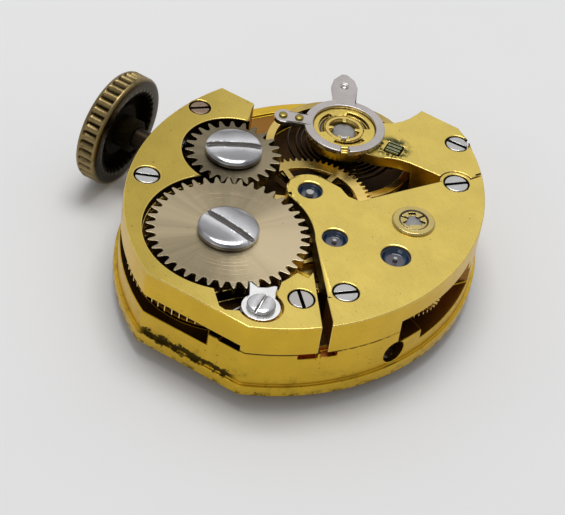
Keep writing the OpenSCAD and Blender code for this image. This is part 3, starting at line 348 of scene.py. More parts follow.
class MovementColours(bpy.types.PropertyGroup):
    """Base colours of the finishes."""

    gilt: colour("Gilt", "Satin gilding of the plates", (0.67, 0.505, 0.112))
    gilt_side: colour("Gilt sides", "Milled sides of the plates", (0.67, 0.435, 0.040))
    steel: colour("Steel", "Polished steel of screws and click", (0.70, 0.695, 0.68))
    wheel_steel: colour("Winding wheels", "Brushed winding wheels", (0.51, 0.42, 0.265))
    brass: colour("Wheel brass", "Gilt train wheels", (0.80, 0.58, 0.17))
    jewel: colour("Jewel", "Dark blue train jewels", (0.002, 0.014, 0.038))
    crown: colour("Crown", "Worn plating of the crown", (0.21, 0.155, 0.066))
    floor: colour("Floor", "Pale table", (0.73, 0.73, 0.73))


# Meshes from arrays


def turned(outline):
    """The outline with its points running anticlockwise."""
    outline = np.asarray(outline, dtype=float)
    x, y = outline[:, 0], outline[:, 1]
    area = np.sum(x * np.roll(y, -1) - np.roll(x, -1) * y)
    return outline if area > 0 else outline[::-1]


def raw(verts, faces, material):
    """A mesh in millimetres with doubles merged and its faces turned outwards."""
    mesh = bpy.data.meshes.new("work")
    mesh.from_pydata(np.asarray(verts, dtype=float).tolist(), [], faces)
    bm = bmesh.new()
    bm.from_mesh(mesh)
    bmesh.ops.remove_doubles(bm, verts=bm.verts, dist=2e-5)
    bmesh.ops.recalc_face_normals(bm, faces=bm.faces)
    bm.to_mesh(mesh)
    bm.free()
    mesh.materials.append(material)
    return mesh


def prism(outline, bottom, top, material):
    """Outline carried straight up: point i sits at (x_i, y_i, bottom) and (x_i, y_i, top)."""
    outline = turned(outline)
    n = len(outline)
    verts = np.empty((2 * n, 3))
    verts[:n, :2] = outline
    verts[n:, :2] = outline
    verts[:n, 2] = bottom
    verts[n:, 2] = top
    i = np.arange(n)
    j = (i + 1) % n
    faces = np.stack([i, j, j + n, i + n], axis=1).tolist()
    return raw(verts, faces + [i[::-1].tolist(), (i + n).tolist()], material)


def disc(middle, radius, bottom, top, material, sides=None):
    """Circle of the given radius carried straight up."""
    sides = sides or bpy.context.scene.movement_sizes.round_sides
    ring = arc(middle, radius, 0.41, 360.41 - 360 / sides, sides)
    return prism(ring, bottom, top, material)


def revolve(profile, middle, sides, material, closed=False):
    """Profile (r, h) turned about the vertical: x = r cos t, y = r sin t, z = h."""
    profile = np.asarray(profile, dtype=float)
    turn = np.arange(sides) * 2 * math.pi / sides
    k = len(profile)
    verts = np.empty((sides, k, 3))
    verts[..., 0] = middle[0] + np.outer(np.cos(turn), profile[:, 0])
    verts[..., 1] = middle[1] + np.outer(np.sin(turn), profile[:, 0])
    verts[..., 2] = profile[:, 1]
    i = np.arange(sides)[:, None]
    last = k if closed else k - 1
    j = np.arange(last)[None, :]
    a = i * k + j
    b = ((i + 1) % sides) * k + j
    step = (j + 1) % k - j
    quads = np.stack([a, b, b + step, a + step], axis=-1).reshape(-1, 4)
    return raw(verts.reshape(-1, 3), quads.tolist(), material)


def tube_grid(points, closed_u, closed_v):
    """Faces of a grid of points u by v, joined in the directions that close."""
    nu, nv = points.shape[:2]
    i = np.arange(nu if closed_u else nu - 1)[:, None]
    j = np.arange(nv if closed_v else nv - 1)[None, :]
    a = i * nv + j
    b = ((i + 1) % nu) * nv + j
    c = ((i + 1) % nu) * nv + (j + 1) % nv
    d = i * nv + (j + 1) % nv
    return np.stack(np.broadcast_arrays(a, b, c, d), axis=-1).reshape(-1, 4).tolist()


def moved(mesh, matrix):
    """The mesh moved by a matrix in millimetres."""
    mesh.transform(matrix)
    return mesh


def linked(mesh, name="work"):
    """An object for a mesh, in the scene."""
    thing = bpy.data.objects.new(name, mesh)
    bpy.context.scene.collection.objects.link(thing)
    return thing


def tidied(mesh):
    """The mesh without the slivers that cutting leaves."""
    bm = bmesh.new()
    bm.from_mesh(mesh)
    bmesh.ops.remove_doubles(bm, verts=bm.verts, dist=2e-4)
    bmesh.ops.dissolve_degenerate(bm, edges=bm.edges, dist=2e-4)
    bm.to_mesh(mesh)
    bm.free()
    return mesh


class Carving:
    """A closed solid in millimetres that others are joined to, cut from or trimmed by."""

    def __init__(self, mesh):
        self.thing = linked(mesh)
        self.tools = []

    def use(self, mesh, operation):
        """Asks for a boolean with the mesh, which brings its own material to the new faces."""
        tool = linked(mesh)
        self.tools.append(tool)
        change = self.thing.modifiers.new(operation, "BOOLEAN")
        change.operation = operation
        change.solver = "EXACT"
        change.object = tool
        change.material_mode = "TRANSFER"
        return self

    def join(self, mesh):
        """Adds the mesh."""
        return self.use(mesh, "UNION")

    def cut(self, mesh):
        """Takes the mesh away."""
        return self.use(mesh, "DIFFERENCE")

    def trim(self, mesh):
        """Keeps what lies inside the mesh."""
        return self.use(mesh, "INTERSECT")

    def settle(self):
        """Applies what was asked and keeps the result as the solid's own mesh."""
        deps = bpy.context.evaluated_depsgraph_get()
        mesh = bpy.data.meshes.new_from_object(self.thing.evaluated_get(deps))
        self.thing.modifiers.clear()
        self.thing.data = tidied(mesh)
        for tool in self.tools:
            bpy.data.objects.remove(tool)
        self.tools = []
        return self

    def taken(self):
        """Gives the solid's mesh and removes its object."""
        mesh = self.settle().thing.data
        bpy.data.objects.remove(self.thing)
        return mesh

    def finish(self, name, body, nodes=(), slot=None, bevel=0.0, angle=32, edge_material=-1):
        """Breaks the edges, scales to metres and puts the piece on its body."""
        self.settle()
        thing = self.thing
        mesh = thing.data
        mesh.polygons.foreach_set("use_smooth", np.ones(len(mesh.polygons), dtype=bool))
        mesh.set_sharp_from_angle(angle=math.radians(angle))
        if bevel:
            bm = bmesh.new()
            bm.from_mesh(mesh)
            bmesh.ops.triangulate(bm, faces=[f for f in bm.faces if len(f.verts) > 4])
            bm.to_mesh(mesh)
            bm.free()
            edge = thing.modifiers.new("edge", "BEVEL")
            edge.loop_slide = False
            edge.width = bevel
            edge.segments = 2
            edge.limit_method = "ANGLE"
            edge.angle_limit = math.radians(angle)
            edge.use_clamp_overlap = False
            edge.harden_normals = True
            edge.material = edge_material
            self.settle()
            mesh = thing.data
        mesh.transform(Matrix.Scale(MM, 4))
        return placed(thing, name, body, nodes)


def placed(thing, name, body, nodes=()):
    """Names a finished piece, rides it on its body and hides the nodes it stands for."""
    thing.name = name
    thing.data.name = name
    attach(thing, body)
    if nodes:
        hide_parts(*nodes)
    return thing


def gathered(meshes):
    """One mesh from several closed ones that don't touch, keeping their materials."""
    bm = bmesh.new()
    materials = []
    for mesh in meshes:
        known = len(bm.faces)
        bm.from_mesh(mesh)
        bm.faces.ensure_lookup_table()
        for m in mesh.materials:
            if m not in materials:
                materials.append(m)
        for face in bm.faces[known:]:
            if mesh.materials:
                face.material_index = materials.index(mesh.materials[face.material_index])
    joined = bpy.data.meshes.new("gathered")
    bm.to_mesh(joined)
    bm.free()
    for m in materials:
        joined.materials.append(m)
    return joined


# Materials


def group(name, inputs, outputs):
    """An empty shader group with named sockets."""
    tree = bpy.data.node_groups.new(name, "ShaderNodeTree")
    for label, kind, value in inputs:
        socket = tree.interface.new_socket(label, in_out="INPUT", socket_type=kind)
        if value is not None:
            socket.default_value = value
    for label, kind in outputs:
        tree.interface.new_socket(label, in_out="OUTPUT", socket_type=kind)
    return tree, tree.nodes.new("NodeGroupInput"), tree.nodes.new("NodeGroupOutput")


def node(tree, kind, **values):
    """A shader node with its settings; inputs are given by name with underscores."""
    made = tree.nodes.new(kind)
    for key, value in values.items():
        if hasattr(made, key):
            setattr(made, key, value)
        else:
            made.inputs[key.replace("_", " ")].default_value = value
    return made


def maths(tree, operation, a, b=None, clamp=False):
    """A Math node fed by sockets or numbers; gives its output socket."""
    made = tree.nodes.new("ShaderNodeMath")
    made.operation = operation
    made.use_clamp = clamp
    for socket, value in zip(made.inputs, (a, b)):
        if value is None:
            continue
        if isinstance(value, (int, float)):
            socket.default_value = value
        else:
            tree.links.new(value, socket)
    return made.outputs[0]


def ramp(tree, value, low_at, high_at):
    """Goes smoothly from 0 at low_at to 1 at high_at."""
    made = tree.nodes.new("ShaderNodeMapRange")
    made.interpolation_type = "SMOOTHSTEP"
    made.inputs["From Min"].default_value = low_at
    made.inputs["From Max"].default_value = high_at
    tree.links.new(value, made.inputs["Value"])
    return made.outputs["Result"]


def grain_group():
    """Satin grain: fine noise stretched along one direction, in millimetres."""
    tree, given, out = group(
        "Satin grain",
        [
            ("Vector", "NodeSocketVector", None),
            ("Along", "NodeSocketVector", (3.0, 40.0, 40.0)),
            ("Turn", "NodeSocketFloat", 0.0),
        ],
        [("Height", "NodeSocketFloat"), ("Cloud", "NodeSocketFloat")],
    )
    scaled = node(tree, "ShaderNodeVectorMath", operation="SCALE")
    scaled.inputs["Scale"].default_value = 1 / MM
    tree.links.new(given.outputs["Vector"], scaled.inputs[0])
    spun = node(tree, "ShaderNodeVectorRotate", rotation_type="Z_AXIS")
    tree.links.new(scaled.outputs[0], spun.inputs["Vector"])
    tree.links.new(given.outputs["Turn"], spun.inputs["Angle"])
    drawn = node(tree, "ShaderNodeVectorMath", operation="MULTIPLY")
    tree.links.new(spun.outputs[0], drawn.inputs[0])
    tree.links.new(given.outputs["Along"], drawn.inputs[1])
    fine = node(tree, "ShaderNodeTexNoise", Scale=1.0, Detail=3.0, Roughness=0.65)
    tree.links.new(drawn.outputs[0], fine.inputs["Vector"])
    cloud = node(tree, "ShaderNodeTexNoise", Scale=0.9, Detail=4.0, Roughness=0.6)
    tree.links.new(scaled.outputs[0], cloud.inputs["Vector"])
    tree.links.new(fine.outputs[0], out.inputs["Height"])
    tree.links.new(cloud.outputs[0], out.inputs["Cloud"])
    return tree


def rings_group():
    """Turned grain: noise by the distance from an axis, with rays and a painted sheen by the direction from
    it.

    The painted sheen is 0.55 d squared + 0.22 d + 0.22, where d is the cosine of the turn from the painted
    highlight's side.
    """
    tree, given, out = group(
        "Turned grain",
        [
            ("Vector", "NodeSocketVector", None),
            ("Middle", "NodeSocketVector", (0, 0, 0)),
            ("Lines", "NodeSocketFloat", 60.0),
        ],
        [("Height", "NodeSocketFloat"), ("Painted sheen", "NodeSocketFloat"), ("Rays", "NodeSocketFloat")],
    )
    away = node(tree, "ShaderNodeVectorMath", operation="SUBTRACT")
    tree.links.new(given.outputs["Vector"], away.inputs[0])
    tree.links.new(given.outputs["Middle"], away.inputs[1])
    scaled = node(tree, "ShaderNodeVectorMath", operation="MULTIPLY")
    scaled.inputs[1].default_value = (1 / MM, 1 / MM, 0)
    tree.links.new(away.outputs[0], scaled.inputs[0])
    far = node(tree, "ShaderNodeVectorMath", operation="LENGTH")
    tree.links.new(scaled.outputs[0], far.inputs[0])
    lines = maths(tree, "MULTIPLY", far.outputs["Value"], given.outputs["Lines"])
    rings = node(tree, "ShaderNodeTexNoise", noise_dimensions="1D", Scale=1.0, Detail=2.0)
    tree.links.new(lines, rings.inputs["W"])
    tree.links.new(rings.outputs[0], out.inputs["Height"])
    along = node(tree, "ShaderNodeVectorMath", operation="NORMALIZE")
    tree.links.new(scaled.outputs[0], along.inputs[0])
    # Painted sheen: a highlight painted by the direction from the axis, brightest on one side
    lit = node(tree, "ShaderNodeVectorMath", operation="DOT_PRODUCT")
    lit.inputs[1].default_value = (*polar(1, PAINTED_SHEEN_TURN), 0)
    tree.links.new(along.outputs[0], lit.inputs[0])
    both = maths(tree, "MULTIPLY", maths(tree, "MULTIPLY", lit.outputs["Value"], lit.outputs["Value"]), 0.55)
    one = maths(tree, "ADD", maths(tree, "MULTIPLY", lit.outputs["Value"], 0.22), 0.22)
    tree.links.new(maths(tree, "ADD", both, one), out.inputs["Painted sheen"])
    rays = node(tree, "ShaderNodeTexNoise", Scale=3.5, Detail=3.0, Roughness=0.6)
    tree.links.new(along.outputs[0], rays.inputs["Vector"])
    tree.links.new(rays.outputs[0], out.inputs["Rays"])
    return tree


def specks_group():
    """Sparse dirt: dark specks and smears, with more of them where Dirt is high."""
    tree, given, out = group(
        "Specks",
        [("Vector", "NodeSocketVector", None), ("Dirt", "NodeSocketFloat", 0.5)],
        [("Mask", "NodeSocketFloat"), ("Smear", "NodeSocketFloat")],
    )
    scaled = node(tree, "ShaderNodeVectorMath", operation="SCALE")
    scaled.inputs["Scale"].default_value = 1 / MM
    tree.links.new(given.outputs["Vector"], scaled.inputs[0])
    spots = node(tree, "ShaderNodeTexNoise", Scale=9.0, Detail=2.0, Roughness=0.4)
    tree.links.new(scaled.outputs[0], spots.inputs["Vector"])
    edge = maths(tree, "SUBTRACT", 0.80, maths(tree, "MULTIPLY", given.outputs["Dirt"], 0.16))
    over = maths(tree, "SUBTRACT", spots.outputs[0], edge)
    tree.links.new(maths(tree, "MULTIPLY", over, 18.0, clamp=True), out.inputs["Mask"])
    wide = node(tree, "ShaderNodeTexNoise", Scale=1.6, Detail=6.0, Roughness=0.7)
    tree.links.new(scaled.outputs[0], wide.inputs["Vector"])
    tree.links.new(ramp(tree, wide.outputs[0], 0.5, 0.72), out.inputs["Smear"])
    return tree


def principled(name, base, roughness, metallic=1.0):
    """A material with a Principled shader and Object coordinates."""
    made = bpy.data.materials.new(name)
    made.use_nodes = True
    tree = made.node_tree
    shader = tree.nodes["Principled BSDF"]
    shader.inputs["Base Color"].default_value = (*base, 1)
    shader.inputs["Roughness"].default_value = roughness
    shader.inputs["Metallic"].default_value = metallic
    coords = tree.nodes.new("ShaderNodeTexCoord")
    made.diffuse_color = (*base, 1)
    return made, tree, shader, coords.outputs["Object"]


def placed_group(tree, which, coords, **values):
    """Puts a shared group into a material and feeds it the coordinates."""
    made = tree.nodes.new("ShaderNodeGroup")
    made.node_tree = bpy.data.node_groups[which]
    tree.links.new(coords, made.inputs["Vector"])
    for key, value in values.items():
        made.inputs[key].default_value = value
    return made


def blended(tree, amount, a, b, mode="MIX"):
    """Colour a towards colour b by a mask or a number."""
    made = tree.nodes.new("ShaderNodeMix")
    made.data_type = "RGBA"
    made.blend_type = mode
    for socket, value in ((made.inputs[0], amount), (made.inputs[6], a), (made.inputs[7], b)):
        if isinstance(value, (int, float)):
            socket.default_value = value
        elif isinstance(value, tuple):
            socket.default_value = (*value, 1) if len(value) == 3 else value
        else:
            tree.links.new(value, socket)
    return made.outputs[2]


def bumped(tree, shader, height, distance):
    """Feeds a height to the shader's normal; distance in millimetres."""
    made = tree.nodes.new("ShaderNodeBump")
    made.inputs["Distance"].default_value = distance * MM
    made.inputs["Strength"].default_value = 1.0
    tree.links.new(height, made.inputs["Height"])
    tree.links.new(made.outputs[0], shader.inputs["Normal"])


def darker(colour_value, share):
    """A colour times a share."""
    return tuple(c * share for c in colour_value)


def product(tree, *values):
    """Sockets or numbers multiplied together."""
    result = values[0]
    for value in values[1:]:
        result = maths(tree, "MULTIPLY", result, value)
    return result


def in_millimetres(tree, coords):
    """X, Y and Z of the coordinates, in millimetres."""
    parts = tree.nodes.new("ShaderNodeSeparateXYZ")
    tree.links.new(coords, parts.inputs[0])
    return [maths(tree, "MULTIPLY", parts.outputs[axis], 1 / MM) for axis in "XYZ"]


def specked(tree, specks, share, tint, dirt):
    """The tint with dirt in the specks, by a share of their mask."""
    return blended(tree, maths(tree, "MULTIPLY", specks.outputs["Mask"], share), tint, dirt)


def painted_shade_and_light(tree, coords, tint):
    """Painted shade, browner, towards the crown and painted light, paler, away from it, by the distance along
    one direction.
    """
    lean = node(tree, "ShaderNodeVectorMath", operation="DOT_PRODUCT")
    lean.inputs[1].default_value = (0.8 / MM, 0.35 / MM, 0)
    tree.links.new(coords, lean.inputs[0])
    shaded_tint = blended(tree, 1.0, tint, (0.70, 0.68, 0.58), "MULTIPLY")
    pale = blended(tree, 1.0, tint, (1.08, 1.09, 1.18), "MULTIPLY")
    return blended(tree, ramp(tree, lean.outputs["Value"], -5.2, -0.3), shaded_tint, pale)


def crusted(tree, coords, tint, rough):
    """Dark crumbs of crust round the hairspring's stud."""
    away = node(tree, "ShaderNodeVectorMath", operation="DISTANCE")
    away.inputs[1].default_value = (*((BALANCE + polar(1.95, STUD_TURN)) * MM), TOP * MM)
    tree.links.new(coords, away.inputs[0])
    near = maths(tree, "MULTIPLY", away.outputs["Value"], 1 / MM)
    crumbs = node(tree, "ShaderNodeTexNoise", Scale=4200.0, Detail=3.0, Roughness=0.7)
    tree.links.new(coords, crumbs.inputs["Vector"])
    mask = product(tree, ramp(tree, near, 0.85, 0.45), ramp(tree, crumbs.outputs[0], 0.42, 0.52))
    tint = blended(tree, mask, tint, (0.05, 0.05, 0.02))
    return tint, maths(tree, "ADD", rough, maths(tree, "MULTIPLY", mask, 0.2))


def oiled(tree, coords, specks, tint, rough):
    """Ragged band of oil along the front flat, ragged darkening at the foot and in the seam, and a thin
    smear.
    """
    x, y, z = in_millimetres(tree, coords)
    blots = node(tree, "ShaderNodeTexNoise", Scale=2600.0, Detail=6.0, Roughness=0.72)
    tree.links.new(coords, blots.inputs["Vector"])
    blot = blots.outputs[0]
    ragged = maths(tree, "MULTIPLY", maths(tree, "SUBTRACT", blot, 0.5), 0.9)
    level = maths(tree, "ABSOLUTE", maths(tree, "SUBTRACT", maths(tree, "ADD", z, ragged), 0.54))
    along_flat = ramp(tree, maths(tree, "ABSOLUTE", maths(tree, "ADD", x, 0.15)), 2.15, 1.7)
    front = ramp(tree, y, -6.5, -6.9)
    oil = product(tree, ramp(tree, level, 0.17, 0.10), along_flat, front)
    foot = product(tree, ramp(tree, z, 0.26, 0.04), ramp(tree, blot, 0.48, 0.58), 0.8)
    thin = product(tree, specks.outputs["Smear"], 0.4, ramp(tree, z, 1.5, 0.5))
    seam = product(tree, ramp(tree, z, 1.835, 1.855), ramp(tree, blot, 0.38, 0.5), 0.85)
    dark_marks = oil
    for layer in (foot, thin, seam):
        dark_marks = maths(tree, "MAXIMUM", dark_marks, layer)
    tint = blended(tree, maths(tree, "MULTIPLY", dark_marks, 0.93, clamp=True), tint, (0.022, 0.016, 0.006))
    return tint, maths(tree, "ADD", rough, maths(tree, "MULTIPLY", dark_marks, 0.25))


def gilt_material(
    name, base, roughness, turn=0.0, along=(2.0, 30.0, 30.0), bump=0.0012, dirt=0.35, stain=False, crust_and_shade=False
):
    """Satin gilding: stretched grain, slow clouding and dark specks; one switch adds crust round the stud
    with painted shade and light across the tops, stain adds oil.
    """
    made, tree, shader, coords = principled(name, base, roughness)
    grain = placed_group(tree, "Satin grain", coords, Along=along, Turn=turn)
    specks = placed_group(tree, "Specks", coords, Dirt=dirt)
    cloud = ramp(tree, grain.outputs["Cloud"], 0.3, 0.75)
    tint = blended(tree, cloud, darker(base, 0.93), darker(base, 1.05))
    tint = specked(tree, specks, 0.8, tint, (0.08, 0.055, 0.02))
    rough = maths(tree, "ADD", maths(tree, "MULTIPLY", grain.outputs["Height"], 0.16), roughness - 0.08)
    # Crumbs of crust round the stud, over painted shade towards the crown and painted light away from it
    if crust_and_shade:
        tint, rough = crusted(tree, coords, painted_shade_and_light(tree, coords, tint), rough)
    if stain:
        tint, rough = oiled(tree, coords, specks, tint, rough)
    tree.links.new(tint, shader.inputs["Base Color"])
    tree.links.new(rough, shader.inputs["Roughness"])
    bumped(tree, shader, grain.outputs["Height"], bump)
    return made


def turned_material(name, base, roughness, middle, bump=0.004, lines=45.0):
    """Metal turned on a lathe about an axis: ring grain, with a painted sheen that lightens and darkens it in
    sectors.
    """
    made, tree, shader, coords = principled(name, base, roughness)
    axis = (middle[0] * MM, middle[1] * MM, 0)
    grain = placed_group(tree, "Turned grain", coords, Middle=axis, Lines=lines)
    specks = placed_group(tree, "Specks", coords, Dirt=0.3)
    # Painted highlight and shade: the base lightened and darkened by the painted sheen and the rays
    painted_sheen = maths(tree, "MULTIPLY", grain.outputs["Painted sheen"], 0.75)
    lit = maths(tree, "ADD", painted_sheen, maths(tree, "MULTIPLY", grain.outputs["Rays"], 0.4))
    tint = blended(tree, ramp(tree, lit, 0.25, 0.95), darker(base, 0.48), darker(base, 1.25))
    tint = specked(tree, specks, 0.6, tint, (0.06, 0.05, 0.035))
    tree.links.new(tint, shader.inputs["Base Color"])
    bumped(tree, shader, grain.outputs["Height"], bump)
    return made


def polished_material(name, base, roughness, dirt=0.3, scale=4.0):
    """Polished metal with faint wear: soft variation of gloss and a few specks."""
    made, tree, shader, coords = principled(name, base, roughness)
    grain = placed_group(tree, "Satin grain", coords, Along=(scale, scale, scale))
    specks = placed_group(tree, "Specks", coords, Dirt=dirt)
    tint = blended(tree, ramp(tree, grain.outputs["Cloud"], 0.3, 0.7), darker(base, 0.88), base)
    tint = specked(tree, specks, 0.7, tint, (0.05, 0.04, 0.03))
    dull = maths(tree, "MULTIPLY", grain.outputs["Height"], roughness * 0.8)
    rough = maths(tree, "ADD", dull, roughness * 0.6)
    tree.links.new(tint, shader.inputs["Base Color"])
    tree.links.new(rough, shader.inputs["Roughness"])
    return made


# Painted reflection on a domed screw: brightness by the place across its slot, from one rim to the other

DOME_REFLECTION_BANDS = [
    (0.0, 0.75), (0.12, 0.32), (0.30, 0.50), (0.42, 1.0), (0.50, 0.6),
    (0.58, 1.0), (0.70, 0.62), (0.86, 0.30), (1.0, 0.8),
]


def dome_material(name, base, middle, turn):
    """Polished dome with painted reflection bands along its slot: brightness set by the distance across the
    slot.
    """
    made, tree, shader, coords = principled(name, base, 0.14)
    away = node(tree, "ShaderNodeVectorMath", operation="SUBTRACT")
    tree.links.new(coords, away.inputs[0])
    away.inputs[1].default_value = (middle[0] * MM, middle[1] * MM, 0)
    across = node(tree, "ShaderNodeVectorMath", operation="DOT_PRODUCT")
    slot = math.radians(turn)
    across.inputs[1].default_value = (-math.sin(slot) / MM, math.cos(slot) / MM, 0)
    tree.links.new(away.outputs[0], across.inputs[0])
    grain = placed_group(tree, "Satin grain", coords, Along=(0.8, 14.0, 14.0), Turn=-slot)
    specks = placed_group(tree, "Specks", coords, Dirt=0.5)
    waver = maths(tree, "MULTIPLY", maths(tree, "SUBTRACT", grain.outputs["Cloud"], 0.5), 0.5)
    place = maths(tree, "ADD", across.outputs["Value"], waver)
    share = maths(tree, "ADD", maths(tree, "MULTIPLY", place, 0.45), 0.5, clamp=True)
    reflection_bands = tree.nodes.new("ShaderNodeValToRGB")
    stops = reflection_bands.color_ramp.elements
    for position, level in DOME_REFLECTION_BANDS[2:]:
        stops.new(position)
    for stop, (position, level) in zip(stops, DOME_REFLECTION_BANDS):
        stop.position = position
        stop.color = (level, level, level * 1.02, 1)
    tree.links.new(share, reflection_bands.inputs[0])
    tint = blended(tree, 1.0, base, reflection_bands.outputs[0], "MULTIPLY")
    tint = specked(tree, specks, 0.7, tint, (0.05, 0.04, 0.03))
    rough = maths(tree, "ADD", maths(tree, "MULTIPLY", grain.outputs["Height"], 0.14), 0.08)
    tree.links.new(tint, shader.inputs["Base Color"])
    tree.links.new(rough, shader.inputs["Roughness"])
    return made


def jewel_material(name, base, seats=()):
    """Polished stone: deep colour, lighter in clouds and grey near the hole of each seat."""
    made, tree, shader, coords = principled(name, base, 0.06, metallic=0.0)
    grain = placed_group(tree, "Satin grain", coords, Along=(6.0, 6.0, 6.0))
    light = tuple(min(1.0, c * 2.2 + 0.004) for c in base)
    tint = blended(tree, ramp(tree, grain.outputs["Cloud"], 0.3, 0.75), base, light)
    for place, rim, hole in seats:
        flat = node(tree, "ShaderNodeVectorMath", operation="MULTIPLY")
        flat.inputs[1].default_value = (1 / MM, 1 / MM, 0)
        tree.links.new(coords, flat.inputs[0])
        away = node(tree, "ShaderNodeVectorMath", operation="DISTANCE")
        away.inputs[1].default_value = (*place, 0)
        tree.links.new(flat.outputs[0], away.inputs[0])
        near = ramp(tree, away.outputs["Value"], rim * 0.66, rim * 0.5)
        tint = blended(tree, near, tint, (0.075, 0.07, 0.085))
    tree.links.new(tint, shader.inputs["Base Color"])
    shader.inputs["IOR"].default_value = 1.6
    return made


def crown_material(name, base):
    """Worn plating with smears of dirt; painted light on the ridges and painted shade in the flutes and the
    recess, by the distance from the stem's axis.
    """
    made, tree, shader, coords = principled(name, base, 0.36)
    x, y, height = in_millimetres(tree, coords)
    z = maths(tree, "SUBTRACT", height, STEM_Z)
    far = maths(tree, "SQRT", maths(tree, "ADD", product(tree, y, y), product(tree, z, z)))
    grain = placed_group(tree, "Satin grain", coords, Along=(14.0, 14.0, 14.0))
    specks = placed_group(tree, "Specks", coords, Dirt=0.8)
    # Painted light on the ridges and painted shade in the flutes; slightly darker towards the outer end
    tint = blended(tree, ramp(tree, far, 2.03, 2.165), darker(base, 0.16), darker(base, 1.3))
    tint = blended(tree, ramp(tree, x, -8.4, -8.7), tint, darker(base, 0.95))
    # Painted shade in the recess
    recess_shade = product(tree, ramp(tree, far, 1.70, 1.62), ramp(tree, x, -8.36, -8.32))
    tint = blended(tree, recess_shade, tint, darker(base, 0.07))
    tint = blended(tree, maths(tree, "MULTIPLY", specks.outputs["Smear"], 0.55), tint, darker(base, 0.22))
    tint = specked(tree, specks, 0.8, tint, (0.02, 0.016, 0.01))
    rough = maths(tree, "ADD", maths(tree, "MULTIPLY", grain.outputs["Height"], 0.25), 0.22)
    rough = maths(tree, "ADD", rough, maths(tree, "MULTIPLY", recess_shade, 0.45), clamp=True)
    tree.links.new(tint, shader.inputs["Base Color"])
    tree.links.new(rough, shader.inputs["Roughness"])
    bumped(tree, shader, grain.outputs["Height"], 0.006)
    return made


FINISHES = {}


def make_finishes():
    """All finishes of the movement, by name."""
    c = bpy.context.scene.movement_colours
    gilt, side, steel = tuple(c.gilt), tuple(c.gilt_side), tuple(c.steel)
    wheels, brass = tuple(c.wheel_steel), tuple(c.brass)
    milled = {"along": (3.0, 3.0, 45.0), "bump": 0.0016}
    coarse = {"along": (8.0, 8.0, 8.0), "bump": 0.002}
    FINISHES.update(
        gilt=gilt_material("Satin gilt", gilt, 0.29, turn=0.5, dirt=0.5, crust_and_shade=True),
        gilt_side=gilt_material("Milled gilt side", side, 0.30, dirt=0.45, **milled),
        gilt_plate=gilt_material("Plate gilt", side, 0.32, dirt=0.6, stain=True, **milled),
        # Deep gilt: a near-black copy of the gilding, painted shade in sinks, seats, windows and on the
        # hidden floor
        gilt_deep=gilt_material("Deep gilt", (0.035, 0.017, 0.005), 0.5, dirt=0.9, **coarse),
        # Inner gilt: a dim coppery copy of the gilding, painted shade and interreflection on walls and floors
        # inside
        gilt_inner=gilt_material("Inner gilt", (0.27, 0.125, 0.022), 0.34, dirt=0.8, **coarse),
        bright=polished_material("Polished gilt", (0.80, 0.60, 0.17), 0.2, dirt=0.3),
        steel=polished_material("Polished steel", darker(steel, 0.76), 0.16, scale=2.0),
        ratchet_dome=dome_material("Ratchet screw steel", (0.80, 0.80, 0.80), BARREL, RATCHET_SLOT_TURN),
        crown_dome=dome_material("Crown wheel screw steel", (0.80, 0.80, 0.80), CROWN_WHEEL, CROWN_SLOT_TURN),
        click_dome=dome_material("Click screw steel", (0.78, 0.77, 0.76), CLICK, CLICK_SLOT_TURN),
        click=polished_material("Bright click steel", (0.97, 0.965, 0.95), 0.26, dirt=0.2),
        ring=polished_material("Regulator steel", (0.56, 0.52, 0.50), 0.24, dirt=0.5),
        stud=polished_material("Stud steel", (0.20, 0.21, 0.11), 0.4, dirt=0.9),
        stem=polished_material("Stem steel", (0.035, 0.024, 0.015), 0.4, dirt=0.6),
        # Slot steels: darker copies of the screw steel for the walls and floors of slots, painted shade
        slot=polished_material("Slot steel", (0.10, 0.09, 0.08), 0.35, dirt=0.6),
        wide_slot=polished_material("Wide slot steel", (0.48, 0.465, 0.45), 0.2, dirt=0.4),
        pivot=polished_material("Pivot steel", (0.85, 0.86, 0.9), 0.08, dirt=0.1),
        screw=polished_material("Screw steel", darker(steel, 0.88), 0.16, dirt=0.55, scale=9.0),
        pale=polished_material("Pale gilt", (0.66, 0.52, 0.19), 0.2, dirt=0.4),
        rusty=polished_material("Rusty screw steel", (0.30, 0.21, 0.15), 0.3, dirt=0.9, scale=9.0),
        bronzed=polished_material("Bronzed screw steel", (0.56, 0.53, 0.49), 0.22, dirt=0.6, scale=9.0),
        # Copper: a coppery colour for gilt walls in narrow gaps, painted reflection of the gilding in shade
        copper=polished_material("Copper", (0.55, 0.22, 0.05), 0.3, dirt=0.6),
        dull=polished_material("Dull gilt", (0.30, 0.235, 0.06), 0.34, dirt=0.8),
        # Dark steel, also used as painted shade on the walls of slots, grooves and openings
        dark=polished_material("Dark steel", (0.10, 0.085, 0.07), 0.3, dirt=0.6),
        grey=polished_material("Grey steel", (0.42, 0.40, 0.37), 0.24, dirt=0.5),
        ratchet=turned_material("Ratchet steel", wheels, 0.27, BARREL),
        crown_wheel=turned_material("Crown wheel steel", darker(wheels, 0.48), 0.26, CROWN_WHEEL),
        brass=polished_material("Gilt brass", brass, 0.2, dirt=0.3),
        centre=turned_material("Centre wheel brass", brass, 0.22, HANDS, lines=30.0),
        rim=turned_material("Balance brass", brass, 0.16, BALANCE, lines=25.0, bump=0.002),
        jewel=jewel_material("Blue jewel", tuple(c.jewel), TRAIN_SEATS),
        crown=crown_material("Crown plating", tuple(c.crown)),
        cap=jewel_material("Cap jewel", (0.13, 0.125, 0.12)),
        ruby=jewel_material("Ruby", (0.20, 0.01, 0.03)),
        hair=polished_material("Hairspring blue", (0.05, 0.04, 0.035), 0.3, dirt=0.1),
    )


# Plan shapes


